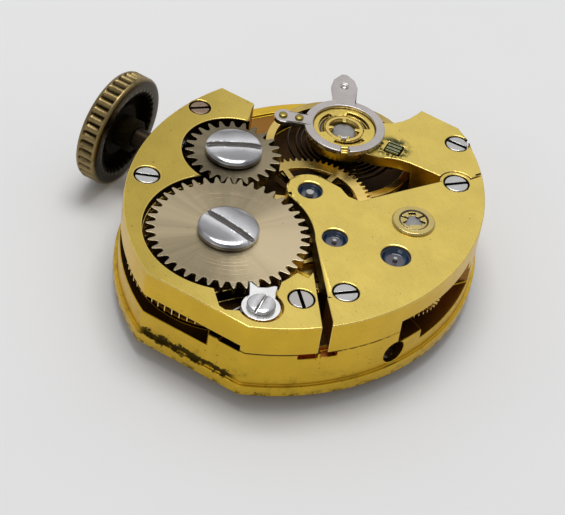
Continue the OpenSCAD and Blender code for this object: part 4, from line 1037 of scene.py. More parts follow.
def movement_outline(grow=0.0):
    """Two side arcs of one radius, cut by a front and a back flat."""
    r = SIDE_R + grow
    front = math.degrees(math.asin((FRONT_Y - grow - SIDE_Y) / r))
    back = math.degrees(math.asin((BACK_Y + grow - SIDE_Y) / r))
    right = arc((-SIDE_X, SIDE_Y), r, front, back, SIDE_STEPS)
    left = arc((SIDE_X, SIDE_Y), r, 180 - back, 180 - front, SIDE_STEPS)
    return np.vstack([right, left])


def oblong(left, right, front, back):
    """Corners of a rectangle."""
    return [(left, front), (right, front), (right, back), (left, back)]


def sector(middle, start, stop, radius):
    """A pie slice about a point."""
    return np.vstack([[middle], arc(middle, radius, start, stop, END_STEPS)])


def capsule(start, end, radius):
    """Two round ends joined by straight sides."""
    turn = heading(start, end)
    far_end = arc(end, radius, turn - 90, turn + 90, END_STEPS)
    return np.vstack([far_end, arc(start, radius, turn + 90, turn + 270, END_STEPS)])


def hull(circles):
    """Convex outline round circles given as (x, y, radius)."""
    points = np.vstack([arc(c[:2], c[2], 0, 360 - 360 / END_STEPS, END_STEPS) for c in circles])
    return points[convex_hull_2d([Vector(p) for p in points])]


def teeth_outline(count, tip, root, tip_share, root_share, phase):
    """Teeth with straight flanks: widths at tip and root are shares of the pitch."""
    pitch = 360 / count
    middle = phase + pitch * np.arange(count)[:, None]
    offset = np.array([-root_share, -tip_share, tip_share, root_share]) * pitch / 2
    radius = np.array([root, tip, tip, root])
    return polar(np.broadcast_to(radius, (count, 4)), middle + offset).reshape(-1, 2)


def wolf_outline(count, tip, root, phase):
    """Winding teeth with pointed tips over rounded gaps."""
    pitch = 360 / count
    middle = phase + pitch * np.arange(count)[:, None]
    half = np.array([0.38, 0.32, 0.27, 0.22, 0.17, 0.11, 0.05])
    rise = np.array([0.0, 0.10, 0.25, 0.47, 0.70, 0.90, 1.0])
    offset = np.concatenate([-half, half[::-1]]) * pitch
    share = np.concatenate([rise, rise[::-1]])
    return polar(np.broadcast_to(root + share * (tip - root), (count, 14)), middle + offset).reshape(-1, 2)


def set_at(place, turn, height=0):
    """Matrix that turns a piece about the vertical and carries it to its place."""
    return Matrix.Translation((*place, height)) @ Matrix.Rotation(math.radians(turn), 4, "Z")


def along_x(mesh, x):
    """Turns a piece about the vertical into one about the stem: its +Z becomes +X."""
    return moved(mesh, Matrix(((0, 0, 1, x), (0, 1, 0, 0), (-1, 0, 0, STEM_Z), (0, 0, 0, 1))))


def bar(middle, length, width, turn, bottom, top, material):
    """A rectangular bar lying in plan at an angle."""
    plan = oblong(-length / 2, length / 2, -width / 2, width / 2)
    return moved(prism(plan, bottom, top, material), set_at(middle, turn))


def slot_cutter(middle, top, width, turn, deep, material, length=4.0):
    """The cutter of a screw slot across a head."""
    plan = np.array(oblong(-length / 2, length / 2, -width / 2, width / 2))
    c, s = math.cos(math.radians(turn)), math.sin(math.radians(turn))
    plan = plan @ np.array([[c, s], [-s, c]]) + np.asarray(middle)
    return prism(plan, top - deep, top + 1, material)


# Stage


LAMP_AIM = Vector((0.0, 0.0, 0.0015))
LAMPS = [
    ("window lamp", (-0.03, 0.045, 0.25), (0.14, 0.10), 0.34),
    ("front lamp", (-0.02, -0.22, 0.14), (0.16, 0.05), 0.045),
]
TABLE_HALF = 3.0
CAMERA_TURN, CAMERA_DIP, CAMERA_ROLL = 25.5, 41.88, -9.57
CAMERA_AIM = (1.124, -3.708, 3.13)
CAMERA_AWAY = 86.66
FOCAL_PIXELS = 2500.0
PICTURE_WIDTH = 565.0
SENSOR_WIDTH = 36.0


def add_table(scene):
    """A pale, faintly clouded table under the movement."""
    z = cad_box[0][2]
    corners = [(x, y, z) for x, y in oblong(-TABLE_HALF, TABLE_HALF, -TABLE_HALF, TABLE_HALF)]
    table = bpy.data.meshes.new("table")
    table.from_pydata(corners, [], [(0, 1, 2, 3)])
    base = tuple(scene.movement_colours.floor)
    made, tree, shader, coords = principled("Pale table", base, 0.85, metallic=0.0)
    cloud = node(tree, "ShaderNodeTexNoise", Scale=60.0, Detail=3.0)
    tree.links.new(coords, cloud.inputs["Vector"])
    tint = blended(tree, ramp(tree, cloud.outputs[0], 0.3, 0.7), darker(base, 0.985), base)
    tree.links.new(tint, shader.inputs["Base Color"])
    shader.inputs["Specular IOR Level"].default_value = 0.2
    table.materials.append(made)
    linked(table, "table")


def add_room(scene):
    """A soft grey room, brighter towards one window and round the horizon."""
    world = bpy.data.worlds.new("Soft room")
    world.use_nodes = True
    scene.world = world
    sky = world.node_tree
    background = sky.nodes["Background"]
    coords = sky.nodes.new("ShaderNodeTexCoord")
    toward = node(sky, "ShaderNodeVectorMath", operation="DOT_PRODUCT")
    toward.inputs[1].default_value = (-0.32, 0.67, 0.67)
    sky.links.new(coords.outputs["Generated"], toward.inputs[0])
    window = ramp(sky, toward.outputs["Value"], 0.35, 0.97)
    tint = blended(sky, window, (0.38, 0.38, 0.39), (0.80, 0.80, 0.81))
    parts = sky.nodes.new("ShaderNodeSeparateXYZ")
    sky.links.new(coords.outputs["Generated"], parts.inputs[0])
    level = maths(sky, "ABSOLUTE", parts.outputs["Z"])
    tint = blended(sky, ramp(sky, level, 0.10, 0.03), tint, (0.70, 0.70, 0.71))
    sky.links.new(tint, background.inputs["Color"])
    background.inputs["Strength"].default_value = 1.0


def add_lamp(scene, name, place, size, power):
    """A soft rectangular lamp that looks at the movement."""
    light = bpy.data.lights.new(name, "AREA")
    light.shape = "RECTANGLE"
    light.size, light.size_y = size
    light.energy = power
    lamp = bpy.data.objects.new(name, light)
    scene.collection.objects.link(lamp)
    place = Vector(place)
    facing = (place - LAMP_AIM).to_track_quat("Z", "Y").to_matrix().to_4x4()
    lamp.matrix_world = Matrix.Translation(place) @ facing


def add_camera(scene):
    """The camera at the photograph's angle, from its turn, its dip and its roll."""
    turn, dip, roll = (math.radians(a) for a in (CAMERA_TURN, CAMERA_DIP, CAMERA_ROLL))
    right = Vector((math.cos(turn), math.sin(turn), 0))
    ahead = Vector((-math.sin(turn) * math.cos(dip), math.cos(turn) * math.cos(dip), -math.sin(dip)))
    down = ahead.cross(right)
    across = math.cos(roll) * right + math.sin(roll) * down
    below = math.cos(roll) * down - math.sin(roll) * right
    place = Vector(CAMERA_AIM) * MM - ahead * CAMERA_AWAY * MM
    camera = bpy.data.cameras.new("camera")
    camera.sensor_fit = "HORIZONTAL"
    camera.sensor_width = SENSOR_WIDTH
    camera.lens = FOCAL_PIXELS / PICTURE_WIDTH * SENSOR_WIDTH
    camera.clip_start = 0.005
    camera.clip_end = 5.0
    thing = bpy.data.objects.new("camera", camera)
    scene.collection.objects.link(thing)
    rows = Matrix((across, -below, -ahead)).transposed().to_4x4()
    thing.matrix_world = Matrix.Translation(place) @ rows
    scene.camera = thing


class MOVEMENT_OT_stage(bpy.types.Operator):
    """Adds the pale table, the soft lamps and the camera at the photograph's angle."""

    bl_idname = "movement.stage"
    bl_label = "Stage"

    def execute(self, context):
        scene = context.scene
        add_table(scene)
        add_room(scene)
        for name, place, size, power in LAMPS:
            add_lamp(scene, name, place, size, power)
        add_camera(scene)
        scene.view_settings.view_transform = "Standard"
        return {"FINISHED"}


class MOVEMENT_OT_finishes(bpy.types.Operator):
    """Makes the finishes and gives every carried-over piece of the frame its own."""

    bl_idname = "movement.finishes"
    bl_label = "Finishes"

    KEPT = {
        "brass": (
            "barrel_drum", "barrel_cover", "third_wheel", "fourth_wheel", "minute_wheel", "hour_wheel",
            "hairspring_collet", "shock_blocks", "curb_pins", "escape_clip", "shock_springs",
        ),
        "centre": ("centre_wheel",),
        "rim": ("balance_wheel",),
        "screw": (
            "bridge_screws", "pallet_bridge_screw", "keyless_screws", "click_screw", "ratchet_screw",
            "crown_wheel_screw", "crown_wheel_core",
        ),
        "steel": (
            "click", "click_spring", "escape_pinion", "third_pinion", "fourth_pinion", "centre_pinion",
            "barrel_arbor", "balance_staff", "roller", "pallet_arbor", "escape_wheel", "pallet_fork",
            "winding_pinion", "clutch", "setting_wheel", "cannon_pinion", "regulator",
        ),
        "grey": ("keyless_cover", "yoke", "yoke_spring", "setting_lever", "hairspring_stud", "mainspring"),
        "dark": ("winding_stem", "crown"),
        "gilt": ("barrel_bridge", "train_bridge", "balance_cock", "pallet_bridge", "escape_setting"),
        "gilt_plate": ("mainplate",),
        "jewel": ("bridge_jewels",),
        "ruby": ("plate_jewels", "pallet_stones", "impulse_jewel"),
        "cap": ("cap_jewels",),
        "hair": ("hairspring",),
        "ratchet": ("ratchet_wheel",),
        "crown_wheel": ("crown_wheel",),
    }

    def execute(self, context):
        grain_group()
        rings_group()
        specks_group()
        make_finishes()
        for finish, nodes in self.KEPT.items():
            for name in nodes:
                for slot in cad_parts[name].material_slots:
                    slot.material = FINISHES[finish]
        return {"FINISHED"}


# Plate and bridges


def plan_solid(plan, rounds, material):
    """Bridge blank: its plan carried up, joined to the discs that round it off, trimmed by the outline."""
    work = Carving(prism(plan, PLATE_TOP, TOP, material))
    for middle, radius, sides in rounds:
        work.join(disc(middle, radius, PLATE_TOP, TOP, material, sides))
    work.trim(prism(movement_outline(), PLATE_TOP - 1, TOP + 1, material))
    return work.settle()


def head_radius(place):
    """Bridge screws' heads; those beside the crown wheel and on the cock are smaller."""
    return {BARREL_SCREWS[1]: WORN_HEAD_R, COCK_SCREWS[0]: COCK_HEAD_R}.get(place, HEAD_R)


def screw_seats(work, places):
    """Round sinks for the heads of the bridge screws, their walls and floors in painted shade."""
    deep = FINISHES["gilt_deep"]
    for place in places:
        work.cut(disc(place, head_radius(place) + 0.05, TOP - SEAT_DEPTH, OVER, deep, SMOOTH))


def finish_plate(work, name, node_name, edge_finish="bright"):
    """Satin on the top, painted shade on the hidden floor, and bevels along every edge."""
    work.settle()
    mesh = work.thing.data
    names = [m.name for m in mesh.materials]
    for finish in ("gilt", "gilt_deep", "bright"):
        if FINISHES[finish].name not in names:
            mesh.materials.append(FINISHES[finish])
    names = [m.name for m in mesh.materials]
    count = len(mesh.polygons)
    normals, centres, index = np.empty(count * 3), np.empty(count * 3), np.empty(count, dtype=np.int32)
    mesh.polygons.foreach_get("normal", normals)
    mesh.polygons.foreach_get("center", centres)
    mesh.polygons.foreach_get("material_index", index)
    facing_up = normals.reshape(-1, 3)[:, 2] > 0.99
    height = centres.reshape(-1, 3)[:, 2]
    index[facing_up & (height > TOP - 0.005)] = names.index(FINISHES["gilt"].name)
    index[facing_up & (np.abs(height - PLATE_TOP) < 0.1)] = names.index(FINISHES["gilt_deep"].name)
    mesh.polygons.foreach_set("material_index", index)
    edges = names.index(FINISHES[edge_finish].name)
    bevel = bpy.context.scene.movement_sizes.bevel
    return work.finish(name, "frame", [node_name], "gilt_plate", bevel=bevel, edge_material=edges)


def hollow_top(work):
    """Sinks and windows cut from above for the barrel, the balance, the train and the stem."""
    inner, deep = FINISHES["gilt_inner"], FINISHES["gilt_deep"]
    # Deep finish: painted shade in the balance's and barrel's sinks and the window; inner finish: painted
    # coppery shade on the other cut walls and floors
    # The balance's sink, and the barrel's with the window where its teeth show
    work.cut(disc(BALANCE, BALANCE_ROOM, PLATE_TOP - 0.76, OVER_PLATE, deep))
    work.cut(disc(BARREL, 3.21, 0.99, OVER_PLATE, deep))
    work.cut(disc(BARREL, BARREL_ROOM, BARREL_TOP - 0.42, OVER_PLATE, deep))
    work.cut(prism(sector(BARREL, 163, 295, 9), WINDOW_Z, OVER_PLATE, deep))
    work.cut(prism(oblong(1.0, 1.85, -9, -6), PLATE_TOP - 0.08, OVER_PLATE, inner))
    # Sinks of the centre, fourth and third pinions
    work.cut(disc(HANDS, 0.75, PLATE_TOP - 0.26, OVER_PLATE, inner, SMOOTH))
    work.cut(disc(HANDS, 0.2, UNDER, OVER_PLATE, inner, PLAIN))
    work.cut(disc(FOURTH, FOURTH_ROOM, PLATE_TOP - 0.12, OVER_PLATE, inner))
    work.cut(disc(FOURTH, PINION_SINK, PLATE_TOP - 0.68, OVER_PLATE, inner, SMOOTH))
    work.cut(disc(THIRD, PINION_SINK, PLATE_TOP - 0.33, OVER_PLATE, inner, SMOOTH))
    # The escape wheel's sink, and the windows in the side beside it
    work.cut(disc(ESCAPE, 1.56, ESCAPE_Z, OVER_PLATE, inner))
    work.cut(disc(ESCAPE, 0.46, 0.97, OVER_PLATE, inner, SMOOTH))
    work.cut(prism(sector(FOURTH, -52, -20, 5), WINDOW_Z, OVER_PLATE, inner))
    work.cut(prism(sector(FOURTH, -25, 58, 5), 0.9, OVER_PLATE, inner))
    # Room for the pallet fork and its bridge, and the seat of the lower shock block
    work.cut(disc(PALLET, 1.14, ESCAPE_Z, OVER_PLATE, inner))
    work.cut(prism(capsule(PALLET, BALANCE, 0.42), ESCAPE_Z, OVER_PLATE, inner))
    work.cut(prism(capsule(PALLET, PALLET_SCREW, 0.62), PLATE_TOP - 0.28, OVER_PLATE, inner))
    work.cut(disc(BALANCE, SHOCK_R, 0.25, OVER_PLATE, inner, SMOOTH))
    # Rooms of the winding pinion and the clutch, and the stem's bore
    for start, stop, half in ((-5.36, -4.42, PINION_ROOM), (-4.46, -2.46, CLUTCH_ROOM)):
        work.cut(prism(oblong(start, stop, -half, half), 0.3, OVER_PLATE, inner))
    work.cut(along_x(disc((0, 0), STEM_BORE, 0, 3, inner, PLAIN), STEM_MOUTH))


def hollow_side(work):
    """The screw's hole in the side wall and the two slots that lift the bridges, their walls in painted shade
    and painted coppery reflection.
    """
    inward = set_at(FOOT, FOOT_TURN, FOOT_Z) @ Matrix.Rotation(math.radians(90), 4, "Y")
    work.cut(moved(disc((0, 0), 0.45, 0, 2, FINISHES["gilt_inner"], PLAIN), inward))
    for place, turn, half in (((3.85, -6.1), 41, 0.35), ((4.33, -5.495), 50, 0.304)):
        lifter = prism(oblong(-half, half, -0.3, 0.34), PLATE_TOP - 0.22, OVER_PLATE, FINISHES["copper"])
        work.cut(moved(lifter, set_at(place, turn)))


def hollow_dial_side(work):
    """Rooms cut from below for the keyless works, the minute works and the dial feet."""
    # The rooms' walls and floors take the inner finish: painted shade
    inner = FINISHES["gilt_inner"]
    setting = (-5.45, -1.75)
    works = [(-5.95, -0.44, 0.2), (*setting, 0.42), (-5.4, 0.3, 0.3), (-3.0, 0.4, 0.35),
             (-2.95, -2.35, 0.35), (-3.665, -2.0, 0.36)]
    work.cut(prism(hull(works), UNDER, 0.82, inner))
    cover = [(-5.5, 0.35, 0.34), (-4.9, 1.35, 0.42), (-3.4, 0.3, 0.42), (*setting, 0.42),
             (-4.75, -2.6, 0.4), (-3.3, -2.3, 0.4)]
    work.cut(prism(hull(cover), UNDER, 0.46, inner))
    work.cut(disc(SETTING_WHEEL, 0.755, UNDER, 1.12, inner, SMOOTH))
    work.cut(disc(MINUTE_WHEEL, 1.46, UNDER, 0.85, inner, FINE))
    work.cut(disc(HANDS, 1.55, UNDER, 0.32, inner, FINE))
    for place in DIAL_FEET:
        work.cut(disc(place, 0.36, UNDER, 0.7, inner, PLAIN))


def foot_screw():
    """The slotted head that shows in the side wall's hole."""
    profile = [(0, -0.1), (0.36, -0.1), (0.36, 0.05), (0.31, 0.09), (0, 0.09)]
    head = Carving(revolve(profile, (0, 0), PLAIN, FINISHES["stem"]))
    # The slot is cut in a darker steel: painted shade
    head.cut(slot_cutter((0, 0), 0.09, 0.12, 60, 0.1, FINISHES["slot"]))
    place = np.array((-SIDE_X, SIDE_Y)) + polar(FOOT_REACH + 0.22, FOOT_TURN)
    inward = set_at(place, FOOT_TURN, FOOT_Z) @ Matrix.Rotation(math.radians(90), 4, "Y")
    Carving(moved(head.taken(), inward)).finish("foot_screw_head", "frame", [], "steel", bevel=0.01)


class MOVEMENT_OT_mainplate(bpy.types.Operator):
    """Builds the main plate with its flange, windows and hollows, and the screw in its side."""

    bl_idname = "movement.mainplate"
    bl_label = "Main plate"

    def execute(self, context):
        # The lowered floor behind the balance takes the inner finish: painted shade
        side, inner = FINISHES["gilt_plate"], FINISHES["gilt_inner"]
        lowered, floor_depth, wall = 0.25, 0.33, 0.42
        work = Carving(prism(movement_outline(), 0, PLATE_TOP, side))
        work.join(prism(movement_outline(FLANGE), 0, FLANGE_TOP, side)).settle()
        work.cut(prism(LOWERED_PLAN, PLATE_TOP - lowered, OVER_PLATE, side)).settle()
        floor = Carving(prism(LOWERED_PLAN, PLATE_TOP - floor_depth, OVER_PLATE, inner))
        floor.trim(prism(movement_outline(-wall), 0, 4, inner))
        work.cut(floor.taken())
        hollow_top(work)
        hollow_side(work)
        work.settle()
        hollow_dial_side(work)
        finish_plate(work, "mainplate_piece", "mainplate", "gilt_plate")
        foot_screw()
        return {"FINISHED"}


class MOVEMENT_OT_barrel_bridge(bpy.types.Operator):
    """Builds the barrel bridge with the sunk seats of its wheels, click and screws."""

    bl_idname = "movement.barrel_bridge"
    bl_label = "Barrel bridge"

    def execute(self, context):
        side, inner, deep = (FINISHES[name] for name in ("gilt_side", "gilt_inner", "gilt_deep"))
        rounds = [(CROWN_WHEEL, CROWN_ROOT - 0.1, None), (BARREL, RATCHET_ROOT - 0.1, None)]
        work = plan_solid(BARREL_PLAN, rounds, side)
        # The seats and the trough take the deep finish, painted shade; the rooms below take the inner finish,
        # painted coppery shade
        # Seats of the winding wheels and the click, and the click spring's trough
        work.cut(disc(BARREL, RATCHET_TIP + 0.12, RATCHET_Z - UNDER_WHEEL, OVER, deep))
        work.cut(disc(CROWN_WHEEL, CROWN_TIP + 0.12, CROWN_WHEEL_Z - UNDER_WHEEL, OVER, deep))
        work.cut(disc(CLICK, 0.78, CLICK_Z - UNDER_WHEEL, OVER, side, FINE)).settle()
        beside = [(0.2, -5.9), (1.3, -4.7), (1.76, -4.8), (1.95, -5.4), CLICK + (0.3, 0.7), CLICK]
        work.cut(prism(beside, CLICK_Z - UNDER_WHEEL, OVER + 1, side))
        trough = [(0.03, -6.45), (0.72, -7.12), (0.98, -7.16), (1.42, -6.86),
                  (1.36, -6.3), (1.3, -5.6), (0.9, -5.3), (0.6, -5.6)]
        work.cut(prism(trough, TOP - 0.85, OVER + 1, deep))
        work.cut(prism(oblong(1.6, 2.35, -3.0, -4.0), TOP - 0.55, OVER + 1, side)).settle()
        # Rooms from below for the centre and third wheels, the barrel and its window
        work.cut(disc(HANDS, CENTRE_ROOM, 0, CENTRE_TOP + GAP, inner))
        work.cut(disc(THIRD, THIRD_ROOM, 0, THIRD_TOP + GAP, inner))
        work.cut(disc(BARREL, BARREL_ROOM, 0, BARREL_TOP + GAP, inner))
        work.cut(prism(sector(BARREL, 160, 282, 9), 0, WINDOW_ROOF, inner))
        step = [(-2.2, -9), (1.85, -9), (1.85, -7.0), (-1.5, -6.0)]
        work.cut(prism(step, 0, WINDOW_ROOF, inner))
        for start, stop, half in ((-5.4, -4.4, PINION_ROOM), (-4.5, -1.0, CLUTCH_ROOM)):
            work.cut(prism(oblong(start, stop, -half, half), 0, STEM_Z + half, inner))
        work.cut(along_x(disc((0, 0), STEM_BORE, 0, 3, inner, PLAIN), STEM_MOUTH))
        screw_seats(work, BARREL_SCREWS)
        finish_plate(work, "barrel_bridge_piece", "barrel_bridge")
        return {"FINISHED"}


class MOVEMENT_OT_train_bridge(bpy.types.Operator):
    """Builds the train bridge with the polished sinks of its three jewels."""

    bl_idname = "movement.train_bridge"
    bl_label = "Train bridge"

    def execute(self, context):
        side, inner, deep = (FINISHES[name] for name in ("gilt_side", "gilt_inner", "gilt_deep"))
        work = plan_solid(TRAIN_PLAN, [(HANDS, 0.87, FINE), (TRAIN_SCREWS[0], 0.62, SMOOTH)], side)
        # The ring round the ratchet wheel takes the deep finish, painted shade; the rooms below take the
        # inner finish, painted coppery shade
        work.cut(disc(BARREL, RATCHET_TIP + 0.17, 0, OVER, deep)).settle()
        # Walls along the gap to the barrel bridge: painted shade behind and painted coppery reflection in
        # front
        bend = (3.406, -4.415)
        back_wall = [bend, (1.306, -1.895), (0.9, -1.57), (-3, -4), (0, -6)]
        work.cut(prism(back_wall, 0, OVER + 0.5, deep)).settle()
        front_wall = [(5.006, -6.997), (4.157, -5.316), bend, (2, -6), (4, -9)]
        work.cut(prism(front_wall, 0, OVER + 0.5, FINISHES["copper"])).settle()
        # Rooms from below for the train
        work.cut(disc(HANDS, CENTRE_ROOM, 0, CENTRE_TOP + GAP, inner))
        work.cut(disc(THIRD, THIRD_ROOM, 0, TRAIN_ROOF, inner))
        work.cut(disc(FOURTH, FOURTH_ROOM, 0, TRAIN_ROOF, inner))
        passage = [THIRD, FOURTH, ESCAPE + (0.6, 0.6), ESCAPE + (-1.6, 0.5), (0, 0)]
        work.cut(prism(passage, 0, TRAIN_ROOF, inner))
        work.cut(prism(sector(FOURTH, -52, 52, 5), 0, TRAIN_ROOF, inner))
        work.cut(disc(BARREL, BARREL_ROOM, 0, BARREL_TOP + GAP, inner)).settle()
        for place, rim, hole in TRAIN_SEATS:
            sink = [(0, TOP - SEAT_DEPTH), (rim - 0.03, TOP - SEAT_DEPTH), (rim - 0.03, TOP - 0.03),
                    (rim + 0.005, TOP + 0.0006), (rim + 0.01, OVER), (0, OVER)]
            work.cut(revolve(sink, place, FINE, FINISHES["bright"]))
        work.cut(disc(ESCAPE, 0.66, SETTING_Z, OVER, side, FINE))
        screw_seats(work, TRAIN_SCREWS)
        finish_plate(work, "train_bridge_piece", "train_bridge")
        return {"FINISHED"}


class MOVEMENT_OT_balance_cock(bpy.types.Operator):
    """Builds the balance cock with the slotted boss that carries the regulator."""

    bl_idname = "movement.balance_cock"
    bl_label = "Balance cock"

    def execute(self, context):
        side, inner, bright = (FINISHES[name] for name in ("gilt_side", "gilt_inner", "bright"))
        work = plan_solid(COCK_PLAN, [(BALANCE, 1.32, None)], side)
        work.cut(disc(TRAIN_SCREWS[0], 0.65, 0, OVER, side, SMOOTH))
        stud_seat = prism(oblong(-0.3, 0.32, -0.3, 0.3), 0, 5, side)
        work.cut(moved(stud_seat, set_at(BALANCE + polar(STUD_REACH, STUD_TURN), STUD_TURN))).settle()
        work.join(disc(BALANCE, 1.155, TOP - 0.2, TOP + 0.1, bright, FINE)).settle()
        # The room under the cock takes the inner finish: painted shade
        work.cut(disc(BALANCE, BALANCE_ROOM + 0.02, 0, COCK_Z, inner))
        work.cut(disc(BALANCE, SHOCK_R, 0, OVER, bright, FINE))
        # Three shallow curved slots round the shock setting, their walls and floors dark: painted shade
        for middle in (75, 195, 315):
            outer = arc(BALANCE, 0.95, middle - 38, middle + 38, 20)
            curved = np.vstack([outer, arc(BALANCE, 0.79, middle + 38, middle - 38, 20)])
            work.cut(prism(curved, TOP - 0.05, OVER, FINISHES["dark"]))
        screw_seats(work, COCK_SCREWS)
        finish_plate(work, "balance_cock_piece", "balance_cock")
        return {"FINISHED"}


# Screws, winding wheels and click


def screw_head(place, top, radius, height, turn, slot, domed, steel):
    """A slotted head; a dome rises as the square root of 1 - (r / R) ** 3.2."""
    if domed:
        share = np.linspace(1, 0, 14) ** 0.6
        rise = top + height * (0.55 + 0.45 * np.sqrt(1 - share ** 3.2))
        dome = np.stack([radius * share, rise], axis=1)
        profile = [(0, top), (radius - 0.05, top), (radius, top + 0.05)] + dome.tolist()
        crest, sink, floor = top + height, height * 0.55, FINISHES["wide_slot"]
    else:
        bottom, worn = top - height, 0.025
        profile = [(0, bottom), (radius, bottom), (radius, top - worn), (radius - worn, top), (0, top)]
        crest, sink, floor = top, height * 0.5, FINISHES["slot"]
    work = Carving(revolve(profile, place, FINE, steel))
    # The slot's walls and floor take a darker steel: painted shade
    work.cut(slot_cutter(place, crest, slot, turn, sink, floor))
    return work.settle()


def domed_head(place, top, sizes, turn, finish):
    """A domed head of the given radius, height and width of the slot."""
    radius, height, slot = sizes
    return screw_head(place, top, radius, height, turn, slot, True, FINISHES[finish])


def collected(works, name, body, nodes, slot, bevel):
    """Several settled carvings as one piece."""
    return Carving(gathered([w.taken() for w in works])).finish(name, body, nodes, slot, bevel=bevel)


class MOVEMENT_OT_screws(bpy.types.Operator):
    """Builds the heads of the six bridge screws."""

    bl_idname = "movement.screws"
    bl_label = "Bridge screws"

    def execute(self, context):
        sizes = context.scene.movement_sizes
        worn = {BARREL_SCREWS[1]: "rusty", BARREL_SCREWS[2]: "bronzed"}
        heads = []
        for place, turn in zip(BARREL_SCREWS + TRAIN_SCREWS + COCK_SCREWS, BRIDGE_SLOT_TURNS):
            steel = FINISHES[worn.get(place, "screw")]
            top, radius = TOP - 0.02, head_radius(place)
            heads.append(screw_head(place, top, radius, HEAD_HEIGHT, turn, sizes.slot, False, steel))
        collected(heads, "bridge_screw_heads", "frame", ["bridge_screws"], "steel", sizes.small_bevel)
        return {"FINISHED"}


def winding_wheel(name, body, middle, outline, bottom, bore, bevel):
    """A winding wheel: its toothed outline carried up, with a bored middle."""
    metal = FINISHES["ratchet" if name == "ratchet_wheel" else name]
    wheel = Carving(prism(middle + outline, bottom, WHEEL_TOP, metal))
    wheel.cut(disc(middle, bore, 0, FAR_OVER, metal, SMOOTH))
    wheel.finish(f"{name}_piece", body, [name], "steel", bevel=bevel)


def click_and_horns(bevel):
    """The click: a round body with a two-horned nose towards the ratchet wheel."""
    metal = FINISHES["click"]
    nose = np.array([
        (0.35, 0.45), (0.62, 0.24), (1.2, 0.035), (1.285, -0.01), (1.2, -0.05), (0.94, -0.19),
        (0.87, -0.5), (0.9, -0.8), (0.84, -0.87), (0.54, -0.72), (0.25, -0.61), (-0.2, 0),
    ])
    click = Carving(disc(CLICK, 0.68, CLICK_Z, WHEEL_TOP, metal, FINE))
    click.join(moved(prism(nose, CLICK_Z, WHEEL_TOP, metal), set_at(CLICK, CLICK_TURN)))
    click.cut(disc(CLICK, 0.3, 0, FAR_OVER, metal, PLAIN))
    click.finish("click_piece", "click_body", ["click"], "steel", bevel=bevel)


class MOVEMENT_OT_winding(bpy.types.Operator):
    """Builds the ratchet and crown wheels, their domed screws, the click and its screw."""

    bl_idname = "movement.winding"
    bl_label = "Winding wheels and click"

    def execute(self, context):
        bevel = context.scene.movement_sizes.small_bevel
        teeth = wolf_outline(RATCHET_TEETH, RATCHET_TIP, RATCHET_ROOT, RATCHET_TURN)
        winding_wheel("ratchet_wheel", "ratchet_body", BARREL, teeth, RATCHET_Z, 0.9, bevel * 1.6)
        teeth = wolf_outline(CROWN_WHEEL_TEETH, CROWN_TIP, CROWN_ROOT, CROWN_TURN)
        winding_wheel("crown_wheel", "crown_wheel_body", CROWN_WHEEL, teeth, CROWN_WHEEL_Z, 0.73, bevel * 1.6)

        head = domed_head(BARREL, WHEEL_TOP, RATCHET_HEAD, RATCHET_SLOT_TURN, "ratchet_dome")
        head.finish("ratchet_screw_head", "ratchet_body", ["ratchet_screw"], "steel", bevel=bevel)
        place, top = CROWN_WHEEL, WHEEL_TOP + 0.02
        head = domed_head(place, top, CROWN_WHEEL_HEAD, CROWN_SLOT_TURN, "crown_dome")
        head.finish("crown_wheel_screw_head", "frame", ["crown_wheel_screw"], "steel", bevel=bevel)
        section = oblong(0.3, 0.7, CROWN_WHEEL_Z - UNDER_WHEEL, top)
        core = Carving(revolve(section, place, SMOOTH, FINISHES["screw"], closed=True))
        core.finish("crown_wheel_core_piece", "frame", ["crown_wheel_core"], "steel", bevel=bevel)
        head = domed_head(CLICK, WHEEL_TOP + 0.01, CLICK_HEAD, CLICK_SLOT_TURN, "click_dome")
        head.finish("click_screw_head", "frame", ["click_screw"], "steel", bevel=bevel)
        click_and_horns(bevel * 1.8)
        return {"FINISHED"}


# Jewels and settings


def jewel_solid(place, top, radius, hole, material):
    """Pierced stone with an oil sink: a shallow bowl round the hole, a quarter of a sine deep."""
    bore = hole + 0.02
    bowl = np.linspace(0, 1, 7)
    sink = np.stack([radius * (0.92 - 0.30 * bowl), top - 0.16 * np.sin(bowl * math.pi / 2)], axis=1)
    outside = [(bore, top - 0.24), (radius - 0.03, top - 0.24), (radius, top - 0.21),
               (radius, top), (radius - 0.015, top + 0.015)]
    return revolve(outside + sink.tolist() + [(bore, top - 0.18)], place, SMOOTH, material, closed=True)


def rounded_end(radius, height, bottom, count, power=1.0):
    """Profile of a rounded end: a quarter turn of an ellipse, squarer where the power is under 1."""
    turn = np.linspace(0, math.pi / 2, count)
    return np.stack([radius * np.cos(turn) ** power, bottom + height * np.sin(turn)], axis=1).tolist()


